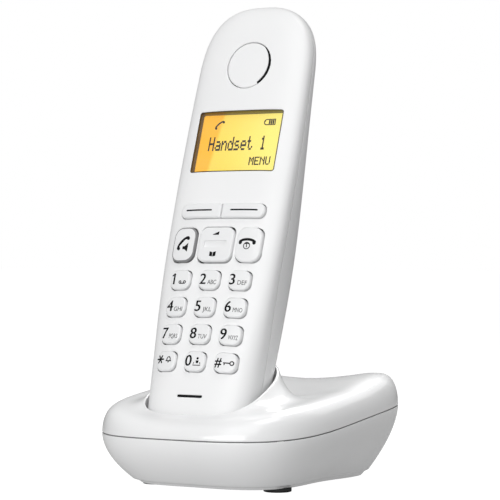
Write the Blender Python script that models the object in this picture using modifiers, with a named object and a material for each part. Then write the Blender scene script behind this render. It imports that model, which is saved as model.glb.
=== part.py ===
"""Cordless phone: a handset that stands in the pocket of its charging base.

World frame in metres, +Z up. The origin is on the floor under the middle of the base, -Y is the
front and X = 0 is the plane of symmetry. All sizes below are millimetres.

The handset is modelled in a frame of its own: x across, y from the front face into the phone
("depth") and z along its length from the bottom end ("height"). That frame leans back with the
handset. A key, cover or contact has its own origin on the line it travels along.
"""
import math

import bmesh
import bpy
from mathutils import Matrix, Vector

MM = 0.001
GAP = 0.3                       # clearance between pieces that touch on the real phone
SEAM_GAP = 0.5                  # between the handset's front and rear shells

# ---- handset ----
LENGTH = 154.0                  # along the handset
HALF_WIDTH = 22.4               # at its widest, near the display
WIDEST_AT = 92.0
SIDE_TAPER = 0.00045            # how fast the sides draw in from the widest place
TOP_ARCH = 25.0                 # length of the arched top end
BOTTOM_ARCH = 14.0
PALM_DEPTH = 27.0               # thickness of the palm bulge
PALM_AT = 52.0
HEAD_DEPTH = 13.0               # thickness behind the earpiece
FRONT_POWER = 3.2               # squareness of the front half of a cross-section
REAR_POWER = 2.5
WALL = 1.5
LEAN = math.radians(18.6)       # lean of the handset in its base
FOOT_OF_FACE = (0.0, -41.2, 16.6)   # bottom end of the front face, in the world

# ---- handset face ----
COLUMN_PITCH = 11.4
ROW_PITCH = 9.3
LOWEST_ROW = 26.7
NUMBER_KEY = (8.0, 6.7)
ACTION_ROW = 66.9
ACTION_HEIGHT = 12.0
CALL_KEY_WIDTH = 9.2
CALL_KEY_X = 12.5
NAVIGATION_WIDTH = 13.2
SOFT_ROW = 78.8
SOFT_HEIGHT = 5.0
SOFT_HALF_SPAN = 16.3
KEY_PROUD = 0.7
KEY_FOOT_DEPTH = 3.6            # depth of the underside of a key
KEY_FOOT_THICK = 0.58
KEY_FOOT_INSET = 1.2            # how far a key's foot stays inside it at each side
KEY_FOOT_OVERHANG = 0.55        # how far the foot reaches past it above and below
KEY_EDGE = 0.6
KEY_CORNER = 2.4
SOFT_CORNER = 2.2
MAT_DEPTH = 4.6                 # face of the rubber mat under the keys
MAT_SIZE = (33.0, 1.2)          # width and thickness
WINDOW_AT = 103.9
WINDOW_SIZE = (32.2, 21.3)
WINDOW_RECESS = 1.3
EARPIECE_AT = 131.3
EARPIECE_RADIUS = 8.2
EARPIECE_THICK = 1.6
RECEIVER = (7.4, 2.4, 3.6)      # radius, thickness and depth of the middle
SPEAKER = (7.5, 3.0, 9.4)
SPEAKER_AT = 116.0              # also the middle of the vents in the rear shell
VENT = (11.0, 0.9, 2.2)         # width, height and pitch of the slots
MICROPHONE_AT = 15.2
MICROPHONE = (2.6, 1.6, 4.9)
MICROPHONE_SLOT = (9.5, 0.9)
BOOT = (3.9, 3.4, 4.3)

# ---- inside the handset ----
BOARD_DEPTH = 6.3
BOARD_SIZE = (34.0, 1.0, 114.0)
BOARD_AT = 76.0
SHIELD = (20.0, 2.0, 14.0)
SHIELD_PLACE = (0.0, 8.7, 96.5)
ANTENNA = (22.0, 0.8, 3.5)
ANTENNA_PLACE = (0.0, 7.0, 142.5)
CELL_RADIUS = 5.2
CELL_LENGTH = 44.0
CELL_BOTTOM = 41.0
CELL_DEPTH = 14.3
CELL_X = 5.6
CELL_CAP = (1.9, 0.9)           # radius and height of the positive cap
TRAY_SIZE = (25.4, 6.6, 48.4)
TRAY_DEPTH = 11.1
TRAY_WALL = 1.0
COVER_BOTTOM = 38.5
COVER_TOP = 87.5
COVER_HALF_WIDTH = 14.5
CHARGE_PAD = (8.0, 16.0)        # across and depth of the charging pads at the bottom end
CASE_SCREW_X = 12.0
CASE_SCREW_AT = 27.0
CASE_SCREW_SUNK = 3.4

# ---- base ----
BASE_HALF_WIDTH = 40.6
BASE_HALF_DEPTH = 47.5
FRONT_PLAN_POWER = 3.25         # squareness of the front half of the base in plan
REAR_PLAN_POWER = 5.2
SEAM_FRONT = 17.8               # height of the seam between the shells
SEAM_REAR = 25.8
SEAM_BEND = 1.15                # how late the seam climbs
RIDGE_RISE = 10.7               # height of the side ridges over the seam
DISH_DEPTH = 5.0
DISH_HALF_WIDTH = 41.0
REAR_RISE = 2.4                 # how much higher the ridges stand at the rear
SHOULDER_POWER = 15.0           # squareness of the rolled shoulder
BASE_WALL = 1.8
BASE_SEAM_GAP = 0.5
BOTTOM_Z = 1.3
BOTTOM_INSET = 12.3             # how far the bottom draws in from the seam
POCKET_CLEARANCE = 0.9
POCKET_WALL = 1.6
POCKET_FLOOR = -0.8             # along the handset, below its bottom end
RIM_LOW_Z = 24.9                # front of the pocket rim
RIM_LOW_Y = -39.5
RIM_SLOPE = 0.483
LIP = 0.9
COLLAR_REACH = 14.0             # how far the collar's fillet runs out over the top
COLLAR_POWER = 3.5
FOOT_RADIUS = 4.6
FOOT_PLACES = ((-23.5, -20.0), (23.5, -20.0), (-18.5, 27.0), (18.5, 27.0))
SOCKET_X = 15.0
SOCKET_Z = 9.5
SOCKET_FACE_Y = 35.5
SOCKET_LENGTH = 13.0
BASE_SCREW_PLACES = ((-24.3, 5.0), (24.3, 5.0), (0.0, 26.3))
BASE_BOARD = (46.0, 42.0, 1.6)
BASE_BOARD_PLACE = (0.0, 14.0, 15.8)
PAGING_PLACE = (0.0, 43.2, 16.0)
PAGING_RADIUS = 4.0
PAGING_TILT = math.radians(28)

PARTS = "cordless_phone"
CUTTERS = "cutters"


# ------------------------------------------------------------------ scene and objects
def start_scene():
    """Empty the scene and make the two collections."""
    for item in list(bpy.data.objects):
        bpy.data.objects.remove(item, do_unlink=True)
    for name in (PARTS, CUTTERS):
        bpy.context.scene.collection.children.link(bpy.data.collections.new(name))


def plastic(name, colour, roughness=0.35, metallic=0.0):
    """A Principled material."""
    made = bpy.data.materials.new(name)
    made.use_nodes = True
    shader = made.node_tree.nodes["Principled BSDF"]
    shader.inputs["Base Color"].default_value = (*colour, 1.0)
    shader.inputs["Roughness"].default_value = roughness
    shader.inputs["Metallic"].default_value = metallic
    return made


def frame_empty(name, location=(0, 0, 0), tilt=0.0, parent=None):
    """An empty that carries a local frame, turned by tilt about X."""
    empty = bpy.data.objects.new(name, None)
    bpy.data.collections[PARTS].objects.link(empty)
    empty.location = Vector(location) * MM
    empty.rotation_euler = (tilt, 0, 0)
    empty.parent = parent
    return empty


def place(name, shape, material=None, parent=None, at=(0, 0, 0), turn=(0, 0, 0), cutter=False):
    """Make an object of a bmesh in millimetres, and free the bmesh."""
    bmesh.ops.scale(shape, vec=(MM, MM, MM), verts=shape.verts)
    mesh = bpy.data.meshes.new(name)
    shape.to_mesh(mesh)
    shape.free()
    mesh.shade_smooth()
    mesh.set_sharp_from_angle(angle=math.radians(35))
    item = bpy.data.objects.new(name, mesh)
    bpy.data.collections[CUTTERS if cutter else PARTS].objects.link(item)
    item.location = Vector(at) * MM
    item.rotation_euler = turn
    item.parent = parent
    if material:
        mesh.materials.append(material)
    if cutter:
        item.hide_render = True
        item.display_type = "WIRE"
    return item


def combine(target, tool, operation="DIFFERENCE"):
    """Cut, join or intersect one object with another."""
    step = target.modifiers.new(tool.name, "BOOLEAN")
    step.operation = operation
    step.object = tool


def thicken(target, wall):
    """Give an open surface a wall on its inner side."""
    step = target.modifiers.new("wall", "SOLIDIFY")
    step.thickness = wall * MM
    step.offset = -1.0


# ------------------------------------------------------------------ shapes, in millimetres
def block(size, corner=0.0, edge=0.0, centre=(0, 0, 0), into=None, steps=3, keep_corner=None):
    """A box with its corners along y rounded by corner and its front (-y) edges by edge.

    keep_corner(x) says which of the rounded corners stay square.
    """
    shape = into or bmesh.new()
    made = bmesh.ops.create_cube(shape, size=1.0)["verts"]
    bmesh.ops.scale(shape, vec=size, verts=made)
    if corner:
        upright = [e for e in {e for v in made for e in v.link_edges}
                   if abs(e.verts[0].co.y - e.verts[1].co.y) > size[1] / 2
                   and not (keep_corner and keep_corner(e.verts[0].co.x))]
        bmesh.ops.bevel(shape, geom=upright, offset=corner, segments=steps, profile=0.5,
                        affect="EDGES")
    if edge:
        front = [e for e in shape.edges
                 if all(abs(v.co.y + size[1] / 2) < 1e-4 for v in e.verts)
                 and len(e.link_faces) == 2]
        bmesh.ops.bevel(shape, geom=front, offset=edge, segments=2, profile=0.5, affect="EDGES")
    bmesh.ops.translate(shape, vec=centre, verts=shape.verts)
    return shape


def cylinder(radius, height, axis="Y", centre=(0, 0, 0), segments=24, top_radius=None):
    """A cylinder or cone with its length along the axis."""
    shape = bmesh.new()
    bmesh.ops.create_cone(shape, cap_ends=True, segments=segments, radius1=radius,
                          radius2=radius if top_radius is None else top_radius, depth=height)
    if axis == "Y":
        bmesh.ops.rotate(shape, matrix=Matrix.Rotation(math.radians(-90), 3, "X"),
                         verts=shape.verts)
    if axis == "X":
        bmesh.ops.rotate(shape, matrix=Matrix.Rotation(math.radians(90), 3, "Y"),
                         verts=shape.verts)
    bmesh.ops.translate(shape, vec=centre, verts=shape.verts)
    return shape


def gather(shapes):
    """One bmesh of several that don't touch, for a set of cutters."""
    whole = bmesh.new()
    for shape in shapes:
        held = bpy.data.meshes.new("held")
        shape.to_mesh(held)
        shape.free()
        whole.from_mesh(held)
        bpy.data.meshes.remove(held)
    return whole


def skin(rows, ring=False, outside=None):
    """A surface through rows of points; ring closes each row. outside is a point it faces."""
    shape = bmesh.new()
    grid = [[shape.verts.new(point) for point in row] for row in rows]
    for low, high in zip(grid, grid[1:]):
        count = len(low)
        for i in range(count if ring else count - 1):
            j = (i + 1) % count
            shape.faces.new((low[i], low[j], high[j], high[i]))
    bmesh.ops.remove_doubles(shape, verts=shape.verts, dist=1e-4)
    bmesh.ops.dissolve_degenerate(shape, edges=shape.edges, dist=1e-4)
    shape.normal_update()
    if outside:
        facing = sum((Vector(outside) - f.calc_center_median()).dot(f.normal) * f.calc_area()
                     for f in shape.faces)
        if facing < 0:
            bmesh.ops.reverse_faces(shape, faces=shape.faces)
    return shape


def power(value, exponent):
    """A signed power, for superellipses."""
    return math.copysign(abs(value) ** exponent, value)


def smooth(value):
    """A soft step from 0 to 1."""
    value = min(max(value, 0.0), 1.0)
    return value * value * (3 - 2 * value)


def rounded_end(distance, squareness):
    """Falls from 1 at distance 0 to 0 at distance 1 like the quarter of a superellipse."""
    return max(1.0 - max(distance, 0.0) ** squareness, 0.0) ** (1.0 / squareness)


# ------------------------------------------------------------------ the handset's form
def seam_depth(height):
    """Depth of the seam between the front and rear shells."""
    if height < 65:
        return 6.8 + 4.6 * smooth((65 - height) / 58)
    return 6.8 - 0.8 * (height - 65) / 60


def full_depth(height):
    """Depth of the back of the handset, without its rounded ends."""
    if height < PALM_AT:
        return PALM_DEPTH - 3.5 * ((PALM_AT - height) / PALM_AT) ** 1.6
    return PALM_DEPTH - (PALM_DEPTH - HEAD_DEPTH) * smooth((height - PALM_AT) / 92)


def half_width(height):
    """Half the handset's width at its seam, without its rounded ends."""
    return HALF_WIDTH - SIDE_TAPER * (height - WIDEST_AT) ** 2


def ends(height, arch_power, bottom_power):
    """The factor that closes the handset at its two ends."""
    top = rounded_end((height - (LENGTH - TOP_ARCH)) / TOP_ARCH, arch_power)
    bottom = rounded_end((BOTTOM_ARCH - height) / BOTTOM_ARCH, bottom_power)
    return top * bottom


def section(height, angle, grow=0.0, closed=True):
    """A point on the handset's cross-section: angle 0..pi is the front half, pi..2 pi the rear."""
    height_in = min(max(height, 0.0), LENGTH)
    width = half_width(height_in)
    seam = seam_depth(height_in)
    front = seam
    rear = full_depth(height_in) - seam
    if closed:
        width *= ends(height_in, 2.8, 4.0)
        front *= ends(height_in, 4.5, 4.0)
        rear *= ends(height_in, 3.0, 3.0)
    sine = math.sin(angle)
    exponent = 2 / (FRONT_POWER if sine >= 0 else REAR_POWER)
    x = (width + grow) * power(math.cos(angle), exponent)
    reach = (front if sine >= 0 else rear) + grow
    return Vector((x, seam - reach * power(sine, exponent), height))


def stations():
    """Heights at which the handset's skin is drawn, closer together at its ends."""
    bottom = [BOTTOM_ARCH * (1 - math.cos(math.radians(a))) for a in (0, 20, 42, 66, 90)]
    middle = [24, 37, 52, 70, 88, 104, 119]
    top = [LENGTH - TOP_ARCH * (1 - math.sin(math.radians(a))) for a in (0, 18, 35, 51, 66, 79)]
    return bottom + middle + top + [LENGTH]


def half_skin(front, count=18):
    """The outer surface of one half of the handset, as an open dome."""
    start = 0.0 if front else math.pi
    angles = [start + math.pi * i / count for i in range(count + 1)]
    rows = [[section(height, angle) for angle in angles] for height in stations()]
    if not front:
        rows = [[point + Vector((0, SEAM_GAP, 0)) for point in row] for row in rows]
    return skin(rows, outside=(0, -500 if front else 500, LENGTH / 2))


def face_depth(x, height):
    """Depth of the front face at a place on it."""
    seam = seam_depth(height)
    flat = max(1 - abs(x / half_width(height)) ** FRONT_POWER, 0.0) ** (1 / FRONT_POWER)
    return seam * (1 - flat)


# ------------------------------------------------------------------ handset pieces
def key_list():
    """Every key as name, x, height, width, length along the handset, corner radius."""
    keys = []
    names = (("key_star", "key_0", "key_hash"), ("key_7", "key_8", "key_9"),
             ("key_4", "key_5", "key_6"), ("key_1", "key_2", "key_3"))
    for row, trio in enumerate(names):
        for column, name in enumerate(trio):
            keys.append((name, (column - 1) * COLUMN_PITCH, LOWEST_ROW + row * ROW_PITCH,
                         *NUMBER_KEY, KEY_CORNER))
    keys.append(("key_talk", -CALL_KEY_X, ACTION_ROW, CALL_KEY_WIDTH, ACTION_HEIGHT, KEY_CORNER))
    keys.append(("key_end", CALL_KEY_X, ACTION_ROW, CALL_KEY_WIDTH, ACTION_HEIGHT, KEY_CORNER))
    keys.append(("key_navigation", 0.0, ACTION_ROW, NAVIGATION_WIDTH, ACTION_HEIGHT, KEY_CORNER))
    soft_width = SOFT_HALF_SPAN - GAP / 2
    for side, name in ((-1, "softkey_left"), (1, "softkey_right")):
        keys.append((name, side * (soft_width + GAP) / 2, SOFT_ROW, soft_width, SOFT_HEIGHT,
                     SOFT_CORNER))
    return keys


def build_keys(face, white):
    """The keycaps, each with a foot behind the shell that keeps it in."""
    for name, x, height, width, length, corner in key_list():
        drop = face_depth(x, height)
        tall = KEY_PROUD - drop + KEY_FOOT_DEPTH
        middle = (KEY_FOOT_DEPTH - KEY_PROUD + drop) / 2
        soft_side = {"softkey_left": 1, "softkey_right": -1}.get(name, 0)
        keep = (lambda px, s=soft_side: px * s > 0) if soft_side else None
        cap = block((width, tall, length), corner, KEY_EDGE, (0, middle, 0), steps=2,
                    keep_corner=keep)
        if name == "key_navigation":
            pivot = KEY_FOOT_DEPTH
            bmesh.ops.translate(cap, vec=(0, -pivot, 0), verts=cap.verts)
            item = place(name, cap, white, face, at=(x, pivot, height))
        else:
            item = place(name, cap, white, face, at=(x, 0, height))
        foot_depth = (0 if name == "key_navigation" else KEY_FOOT_DEPTH) - GAP
        foot = block((width - 2 * KEY_FOOT_INSET, KEY_FOOT_THICK, length + 2 * KEY_FOOT_OVERHANG), 0, 0,
                     (0, foot_depth, 0))
        tool = place(name + "_foot", foot, None, item, cutter=True)
        combine(item, tool, "UNION")


def build_front_shell(face, white):
    """The front shell with its openings for keys, display, earpiece and microphone."""
    shell = place("handset_front_shell", half_skin(True), white, face)
    thicken(shell, WALL)
    reach = 12.0
    holes = []
    for name, x, height, width, length, corner in key_list():
        if name == "softkey_right":
            continue
        if name == "softkey_left":
            x, width = 0.0, 2 * SOFT_HALF_SPAN
        holes.append(block((width + 2 * GAP, reach, length + 2 * GAP), corner + GAP, 0,
                           (x, 0, height)))
    holes.append(block((WINDOW_SIZE[0] + 2 * GAP, reach, WINDOW_SIZE[1] + 2 * GAP), 1.6, 0,
                       (0, 0, WINDOW_AT)))
    holes.append(cylinder(EARPIECE_RADIUS + GAP, reach, "Y", (0, 0, EARPIECE_AT), 32))
    holes.append(block((MICROPHONE_SLOT[0], reach, MICROPHONE_SLOT[1]), 0.4, 0,
                       (0, 0, MICROPHONE_AT), steps=2))
    combine(shell, place("front_openings", gather(holes), None, face, cutter=True))


def cover_prism(margin):
    """The block whose outline is the battery cover's."""
    return block((2 * (COVER_HALF_WIDTH + margin), 24, COVER_TOP - COVER_BOTTOM + 2 * margin),
                 5 + margin, 0, (0, 24, (COVER_TOP + COVER_BOTTOM) / 2), steps=4)


def build_rear_shell(face, white):
    """The rear shell, its battery cover and the openings in it."""
    shell = place("handset_rear_shell", half_skin(False), white, face)
    thicken(shell, WALL)
    cover_frame = (0, full_depth(PALM_AT), (COVER_TOP + COVER_BOTTOM) / 2)
    cover_skin = half_skin(False)
    bmesh.ops.translate(cover_skin, vec=[-c for c in cover_frame], verts=cover_skin.verts)
    cover = place("battery_cover", cover_skin, white, face, at=cover_frame)
    thicken(cover, WALL)
    combine(cover, place("cover_outline", cover_prism(0.0), None, face, cutter=True), "INTERSECT")
    combine(shell, place("cover_opening", cover_prism(GAP), None, face, cutter=True))
    vent_width, vent_height, vent_pitch = VENT
    holes = [block((vent_width - abs(row) * 2, 14, vent_height), 0.4, 0,
                   (0, 13, SPEAKER_AT + row * vent_pitch), steps=1) for row in (-2, -1, 0, 1, 2)]
    for side in (-1, 1):
        holes.append(block((4.6, 5.6, 5), 0, 0, (side * CHARGE_PAD[0], CHARGE_PAD[1], 2)))
        holes.append(cylinder(2.4, 20, "Y", (side * CASE_SCREW_X, 24, CASE_SCREW_AT), 16))
    combine(shell, place("rear_openings", gather(holes), None, face, cutter=True))


def ring_slit(radius, width, start, stop, depth, steps=10):
    """A curved slot: the solid between two arcs, cut through along y."""
    rows = []
    for y in (-depth / 2, depth / 2):
        outer = [(radius + width / 2, start + (stop - start) * i / steps) for i in range(steps + 1)]
        inner = [(radius - width / 2, a) for _, a in reversed(outer)]
        rows.append([(r * math.cos(a), y, r * math.sin(a)) for r, a in outer + inner])
    shape = skin(rows, ring=True)
    bmesh.ops.holes_fill(shape, edges=[e for e in shape.edges if e.is_boundary], sides=0)
    bmesh.ops.recalc_face_normals(shape, faces=shape.faces)
    return shape


def turned(name, profile, material, parent, at, turn=(0, 0, 0), steps=16):
    """A turned piece: the profile runs from its top to its bottom at +x and z up."""
    shape = bmesh.new()
    points = [shape.verts.new((x, 0, z)) for x, z in profile]
    for a, b in zip(points, points[1:]):
        shape.edges.new((a, b))
    item = place(name, shape, material, parent, at, turn)
    spin = item.modifiers.new("turn", "SCREW")
    spin.steps = steps
    spin.render_steps = steps
    spin.use_merge_vertices = True
    spin.merge_threshold = 0.00001
    return item


def build_display(face, clear, glass, black):
    """The window, the liquid crystal panel and the tray that lights it."""
    width, height = WINDOW_SIZE
    place("display_window", block((width, 1.2, height), 1.3, 0.25,
                                  (0, WINDOW_RECESS + 0.6, WINDOW_AT)), clear, face)
    place("display_panel", block((width + 2.4, 1.5, height + 2.4), 0.4, 0,
                                 (0, 4.0, WINDOW_AT), steps=1), glass, face)
    place("backlight_tray", block((width + 4, 0.9, height + 4), 1, 0,
                                  (0, 5.5, WINDOW_AT), steps=2), black, face)


def build_ear_and_mouth(face, white, black, steel):
    """The earpiece, the hands-free loudspeaker and the microphone."""
    def disc(size, height, segments):
        """A round piece from its radius, thickness and depth, at a height on the handset."""
        radius, thick, depth = size
        return cylinder(radius, thick, "Y", (0, depth, height), segments)

    cap = place("earpiece_cap", disc((EARPIECE_RADIUS, EARPIECE_THICK, 0.95), EARPIECE_AT, 32),
                white, face)
    slit = ring_slit(EARPIECE_RADIUS - 0.3, 1.4, math.radians(-52), math.radians(52), 8)
    bmesh.ops.translate(slit, vec=(0, 0, EARPIECE_AT), verts=slit.verts)
    combine(cap, place("sound_slit", slit, None, face, cutter=True))
    place("earpiece_receiver", disc(RECEIVER, EARPIECE_AT, 24), black, face)
    place("handsfree_speaker", disc(SPEAKER, SPEAKER_AT, 24), black, face)
    place("microphone", disc(MICROPHONE, MICROPHONE_AT, 16), steel, face)
    boot = place("microphone_boot", disc(BOOT, MICROPHONE_AT, 20), black, face)
    bore = disc((MICROPHONE[0] + GAP, 8, 7.3), MICROPHONE_AT, 20)
    combine(boot, place("boot_bore", bore, None, face, cutter=True))
    combine(boot, place("boot_inlet", disc((1.2, 6, 3), MICROPHONE_AT, 12), None, face, cutter=True))


def build_electronics(face, rubber, green, steel):
    """The keypad mat, circuit board, radio shield and antenna."""
    mat_bottom, mat_top = LOWEST_ROW - 6.5, SOFT_ROW + 4.5
    mat = block((*MAT_SIZE, mat_top - mat_bottom), 2, 0,
                (0, MAT_DEPTH + MAT_SIZE[1] / 2, (mat_top + mat_bottom) / 2), steps=2)
    place("keypad_mat", mat, rubber, face)
    place("handset_board", block(BOARD_SIZE, 3, 0, (0, BOARD_DEPTH + BOARD_SIZE[1] / 2, BOARD_AT),
                                 steps=2), green, face)
    place("radio_shield", block(SHIELD, 0, 0, SHIELD_PLACE), steel, face)
    place("antenna_strip", block(ANTENNA, 0, 0, ANTENNA_PLACE), steel, face)


def build_battery(face, cell, steel, black):
    """Two rechargeable cells side by side in their tray, with a contact at each end."""
    half, middle = CELL_LENGTH / 2, CELL_BOTTOM + CELL_LENGTH / 2
    cap_radius, cap_height = CELL_CAP
    width, thick, length = TRAY_SIZE
    tray = place("battery_tray", block(TRAY_SIZE, 0, 0, (0, TRAY_DEPTH, middle)), black, face)
    hollow = block((width - 2 * TRAY_WALL, thick + 1.4, length - 2 * TRAY_WALL), 0, 0,
                   (0, TRAY_DEPTH + TRAY_WALL + 0.6, middle))
    combine(tray, place("tray_hollow", hollow, None, face, cutter=True))
    profile = ((0.0, half), (cap_radius, half), (cap_radius, half - cap_height),
               (CELL_RADIUS, half - cap_height), (CELL_RADIUS, -half), (0.0, -half))
    for side, flip, name in ((-1, math.pi, "battery_left"), (1, 0, "battery_right")):
        turned(name, profile, cell, face, (side * CELL_X, CELL_DEPTH, middle), (0, flip, 0), 20)
    for end, name in ((1, "battery_contact_upper"), (-1, "battery_contact_lower")):
        place(name, block((21, 5.4, 0.4), 0, 0, (0, 12.0, middle + end * (half + 0.6))), steel, face)


def build_handset_metal(face, gold, steel):
    """The charging pads at the bottom end and the two case screws."""
    for side, word in ((-1, "left"), (1, "right")):
        place("handset_charge_pad_" + word,
              block((4.0, 5.0, 1.2), 0, 0, (side * CHARGE_PAD[0], CHARGE_PAD[1], 1.6)), gold, face)
        back = section(CASE_SCREW_AT, math.pi * 1.5).y
        profile = ((0.0, 0.0), (2.0, 0.0), (2.0, -1.5), (1.0, -1.5), (1.0, -9.0), (0.0, -9.0))
        turned("handset_screw_" + word, profile, steel, face,
               (side * CASE_SCREW_X, back - CASE_SCREW_SUNK, CASE_SCREW_AT), (math.radians(-90), 0, 0), 12)


# ------------------------------------------------------------------ the base's form
def plan_power(y):
    """Squareness of the base in plan, in front of its middle or behind it."""
    return FRONT_PLAN_POWER if y < 0 else REAR_PLAN_POWER


def outline(angle):
    """A point of the base's plan outline."""
    exponent = 2 / plan_power(math.sin(angle))
    x = BASE_HALF_WIDTH * power(math.cos(angle), exponent)
    y = BASE_HALF_DEPTH * power(math.sin(angle), exponent)
    return Vector((x, y))


def even_outline(count):
    """Points spaced evenly round the plan outline, from +X towards +Y."""
    fine = [outline(2 * math.pi * i / 1440) for i in range(1441)]
    walked = [0.0]
    for a, b in zip(fine, fine[1:]):
        walked.append(walked[-1] + (b - a).length)
    points, place_in = [], 0
    for i in range(count):
        target = walked[-1] * i / count
        while walked[place_in + 1] < target:
            place_in += 1
        part = (target - walked[place_in]) / (walked[place_in + 1] - walked[place_in])
        points.append(fine[place_in].lerp(fine[place_in + 1], part))
    return points


def seam_height(y):
    """Height of the seam between the base's two shells."""
    along = (y + BASE_HALF_DEPTH) / BASE_HALF_DEPTH / 2
    climb = (0.6 * smooth(along) + 0.4 * along) ** SEAM_BEND
    return SEAM_FRONT + (SEAM_REAR - SEAM_FRONT) * climb


def top_height(x, y):
    """The dished top of the base, without the pocket's collar."""
    squareness = plan_power(y)
    radius = (abs(x / BASE_HALF_WIDTH) ** squareness
              + abs(y / BASE_HALF_DEPTH) ** squareness) ** (1 / squareness)
    shoulder = math.sqrt(max(1 - radius ** SHOULDER_POWER, 0.0))
    dish = DISH_DEPTH * (1 - min(abs(x) / DISH_HALF_WIDTH, 1.0) ** 2) ** 1.6
    return seam_height(y) + (RIDGE_RISE + REAR_RISE * smooth((y - 5) / 35) - dish) * shoulder


def to_world(point):
    """A point of the handset's frame in the base's frame."""
    turn = Matrix.Rotation(-LEAN, 3, "X")
    return turn @ Vector(point) + Vector(FOOT_OF_FACE)


def pocket_point(height, angle, grow=0.0):
    """A point on the pocket's wall in the base's frame."""
    return to_world(section(height, angle, POCKET_CLEARANCE + grow, closed=False))


def rim_height_at(y):
    """Height of the inclined plane that the pocket's rim lies in."""
    return RIM_LOW_Z + (y - RIM_LOW_Y) * RIM_SLOPE


def rim_station(angle):
    """How far up the pocket's wall its rim is, at an angle of the section."""
    low, high = 0.0, 60.0
    for _ in range(40):
        middle = (low + high) / 2
        point = pocket_point(middle, angle)
        if point.z < rim_height_at(point.y):
            low = middle
        else:
            high = middle
    return low


def facing_angles(points, centre):
    """The section angles whose rim points face the given outline points."""
    steps = 720
    table = []
    for i in range(steps):
        angle = 2 * math.pi * i / steps
        rim = pocket_point(rim_station(angle), angle)
        table.append((math.atan2(rim.y - centre.y, rim.x - centre.x), angle))
    found = []
    for point in points:
        wanted = math.atan2(point.y - centre.y, point.x - centre.x)
        found.append(min(table, key=lambda row: abs(math.remainder(row[0] - wanted, 2 * math.pi)))[1])
    return found


def collar_height(point, rim, lip_end):
    """Height of the top with the pocket's collar blended in."""
    plain = top_height(point.x, point.y)
    away = (point - lip_end).length / COLLAR_REACH
    return plain + (rim.z - plain) * max(1 - away, 0.0) ** COLLAR_POWER


def base_column(edge, angle):
    """One radial strip of the base's upper shell: its outer and its inner points."""
    rim_at = rim_station(angle)
    rim = pocket_point(rim_at, angle)
    ray = (edge - rim.xy).normalized()
    lip_end = rim.xy + ray * LIP
    insets = (0.0, 0.12, 0.5, 1.2, 2.3, 3.8, 5.6)
    spots = [edge - ray * inset for inset in insets]
    spots += [spots[-1].lerp(lip_end, f) for f in (0.2, 0.4, 0.58, 0.74, 0.88, 1.0)]

    def surface(spot):
        return Vector((spot.x, spot.y, collar_height(spot, rim, lip_end)))

    outer = [surface(spot) for spot in spots]
    outer[0].z = seam_height(edge.y)
    crest = rim.lerp(pocket_point(rim_at, angle, LIP / 2), 0.5)
    crest.z += 0.25
    outer.append(crest)
    outer.append(rim.lerp(pocket_point(rim_at - 1, angle), 0.3))
    outer += [pocket_point(rim_at + (POCKET_FLOOR - rim_at) * f, angle) for f in (0.35, 0.7, 1.0)]
    middle_of_floor = to_world((0, 12.0, POCKET_FLOOR))
    outer += [outer[-1].lerp(middle_of_floor, 0.5), middle_of_floor]

    inner = []
    for inset in (0.0, 0.5, 1.2, 2.3, 3.8):
        spot = edge - ray * inset
        here = surface(spot)
        if inset == 0.0:
            slope = Vector((-ray.x, -ray.y, 0.0))
        else:
            step = surface(spot - ray * 0.05) - here
            slope = Vector((-ray.x * abs(step.z), -ray.y * abs(step.z), -step.xy.length)).normalized()
        inner.append(here + slope * BASE_WALL)
    inner[0].z = seam_height(edge.y)
    wall_top = rim.xy + ray * POCKET_WALL
    far = inner[-1].xy
    for f in (0.3, 0.6, 0.85, 1.0):
        spot = far.lerp(wall_top, f)
        drop = BASE_WALL if f < 1 else BASE_WALL + 0.8
        inner.append(Vector((spot.x, spot.y, collar_height(spot, rim, lip_end) - drop)))
    under = POCKET_FLOOR - BASE_WALL
    start = rim_at - 6.0
    inner += [pocket_point(start + (under - start) * f, angle, POCKET_WALL) for f in (0.1, 0.55, 1.0)]
    middle_under = to_world((0, 12.0, under))
    inner += [inner[-1].lerp(middle_under, 0.5), middle_under]
    return outer, inner


def build_upper_shell(white):
    """The base's upper shell with its dished top, collar and pocket, in one closed skin."""
    centre = Vector((0, -22))
    points = even_outline(46)
    columns = [base_column(edge, angle)
               for edge, angle in zip(points, facing_angles(points, centre))]
    outer_rows = [[column[0][i] for column in columns] for i in range(len(columns[0][0]))]
    inner_rows = [[column[1][i] for column in columns] for i in range(len(columns[0][1]))]
    shape = skin(outer_rows[::-1] + inner_rows, ring=True)
    bmesh.ops.recalc_face_normals(shape, faces=shape.faces)
    shell = place("base_upper_shell", shape, white)
    slots = []
    for side in (-1, 1):
        slots.append(block((3.4, 6.4, 6), 0, 0,
                           (side * CHARGE_PAD[0], CHARGE_PAD[1], POCKET_FLOOR - 1)))
    return shell, slots


def lower_point(edge, share):
    """A point of the base's lower shell, share of the way from the seam to the bottom."""
    seam = seam_height(edge.y) - BASE_SEAM_GAP
    toward_rear = smooth((edge.y + 20) / 60)
    bend = 1.9 - 0.25 * toward_rear
    inset = BOTTOM_INSET * share ** bend
    spot = edge * (1 - inset / edge.length)
    return Vector((spot.x, spot.y, seam + (BOTTOM_Z - seam) * share))


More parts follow.
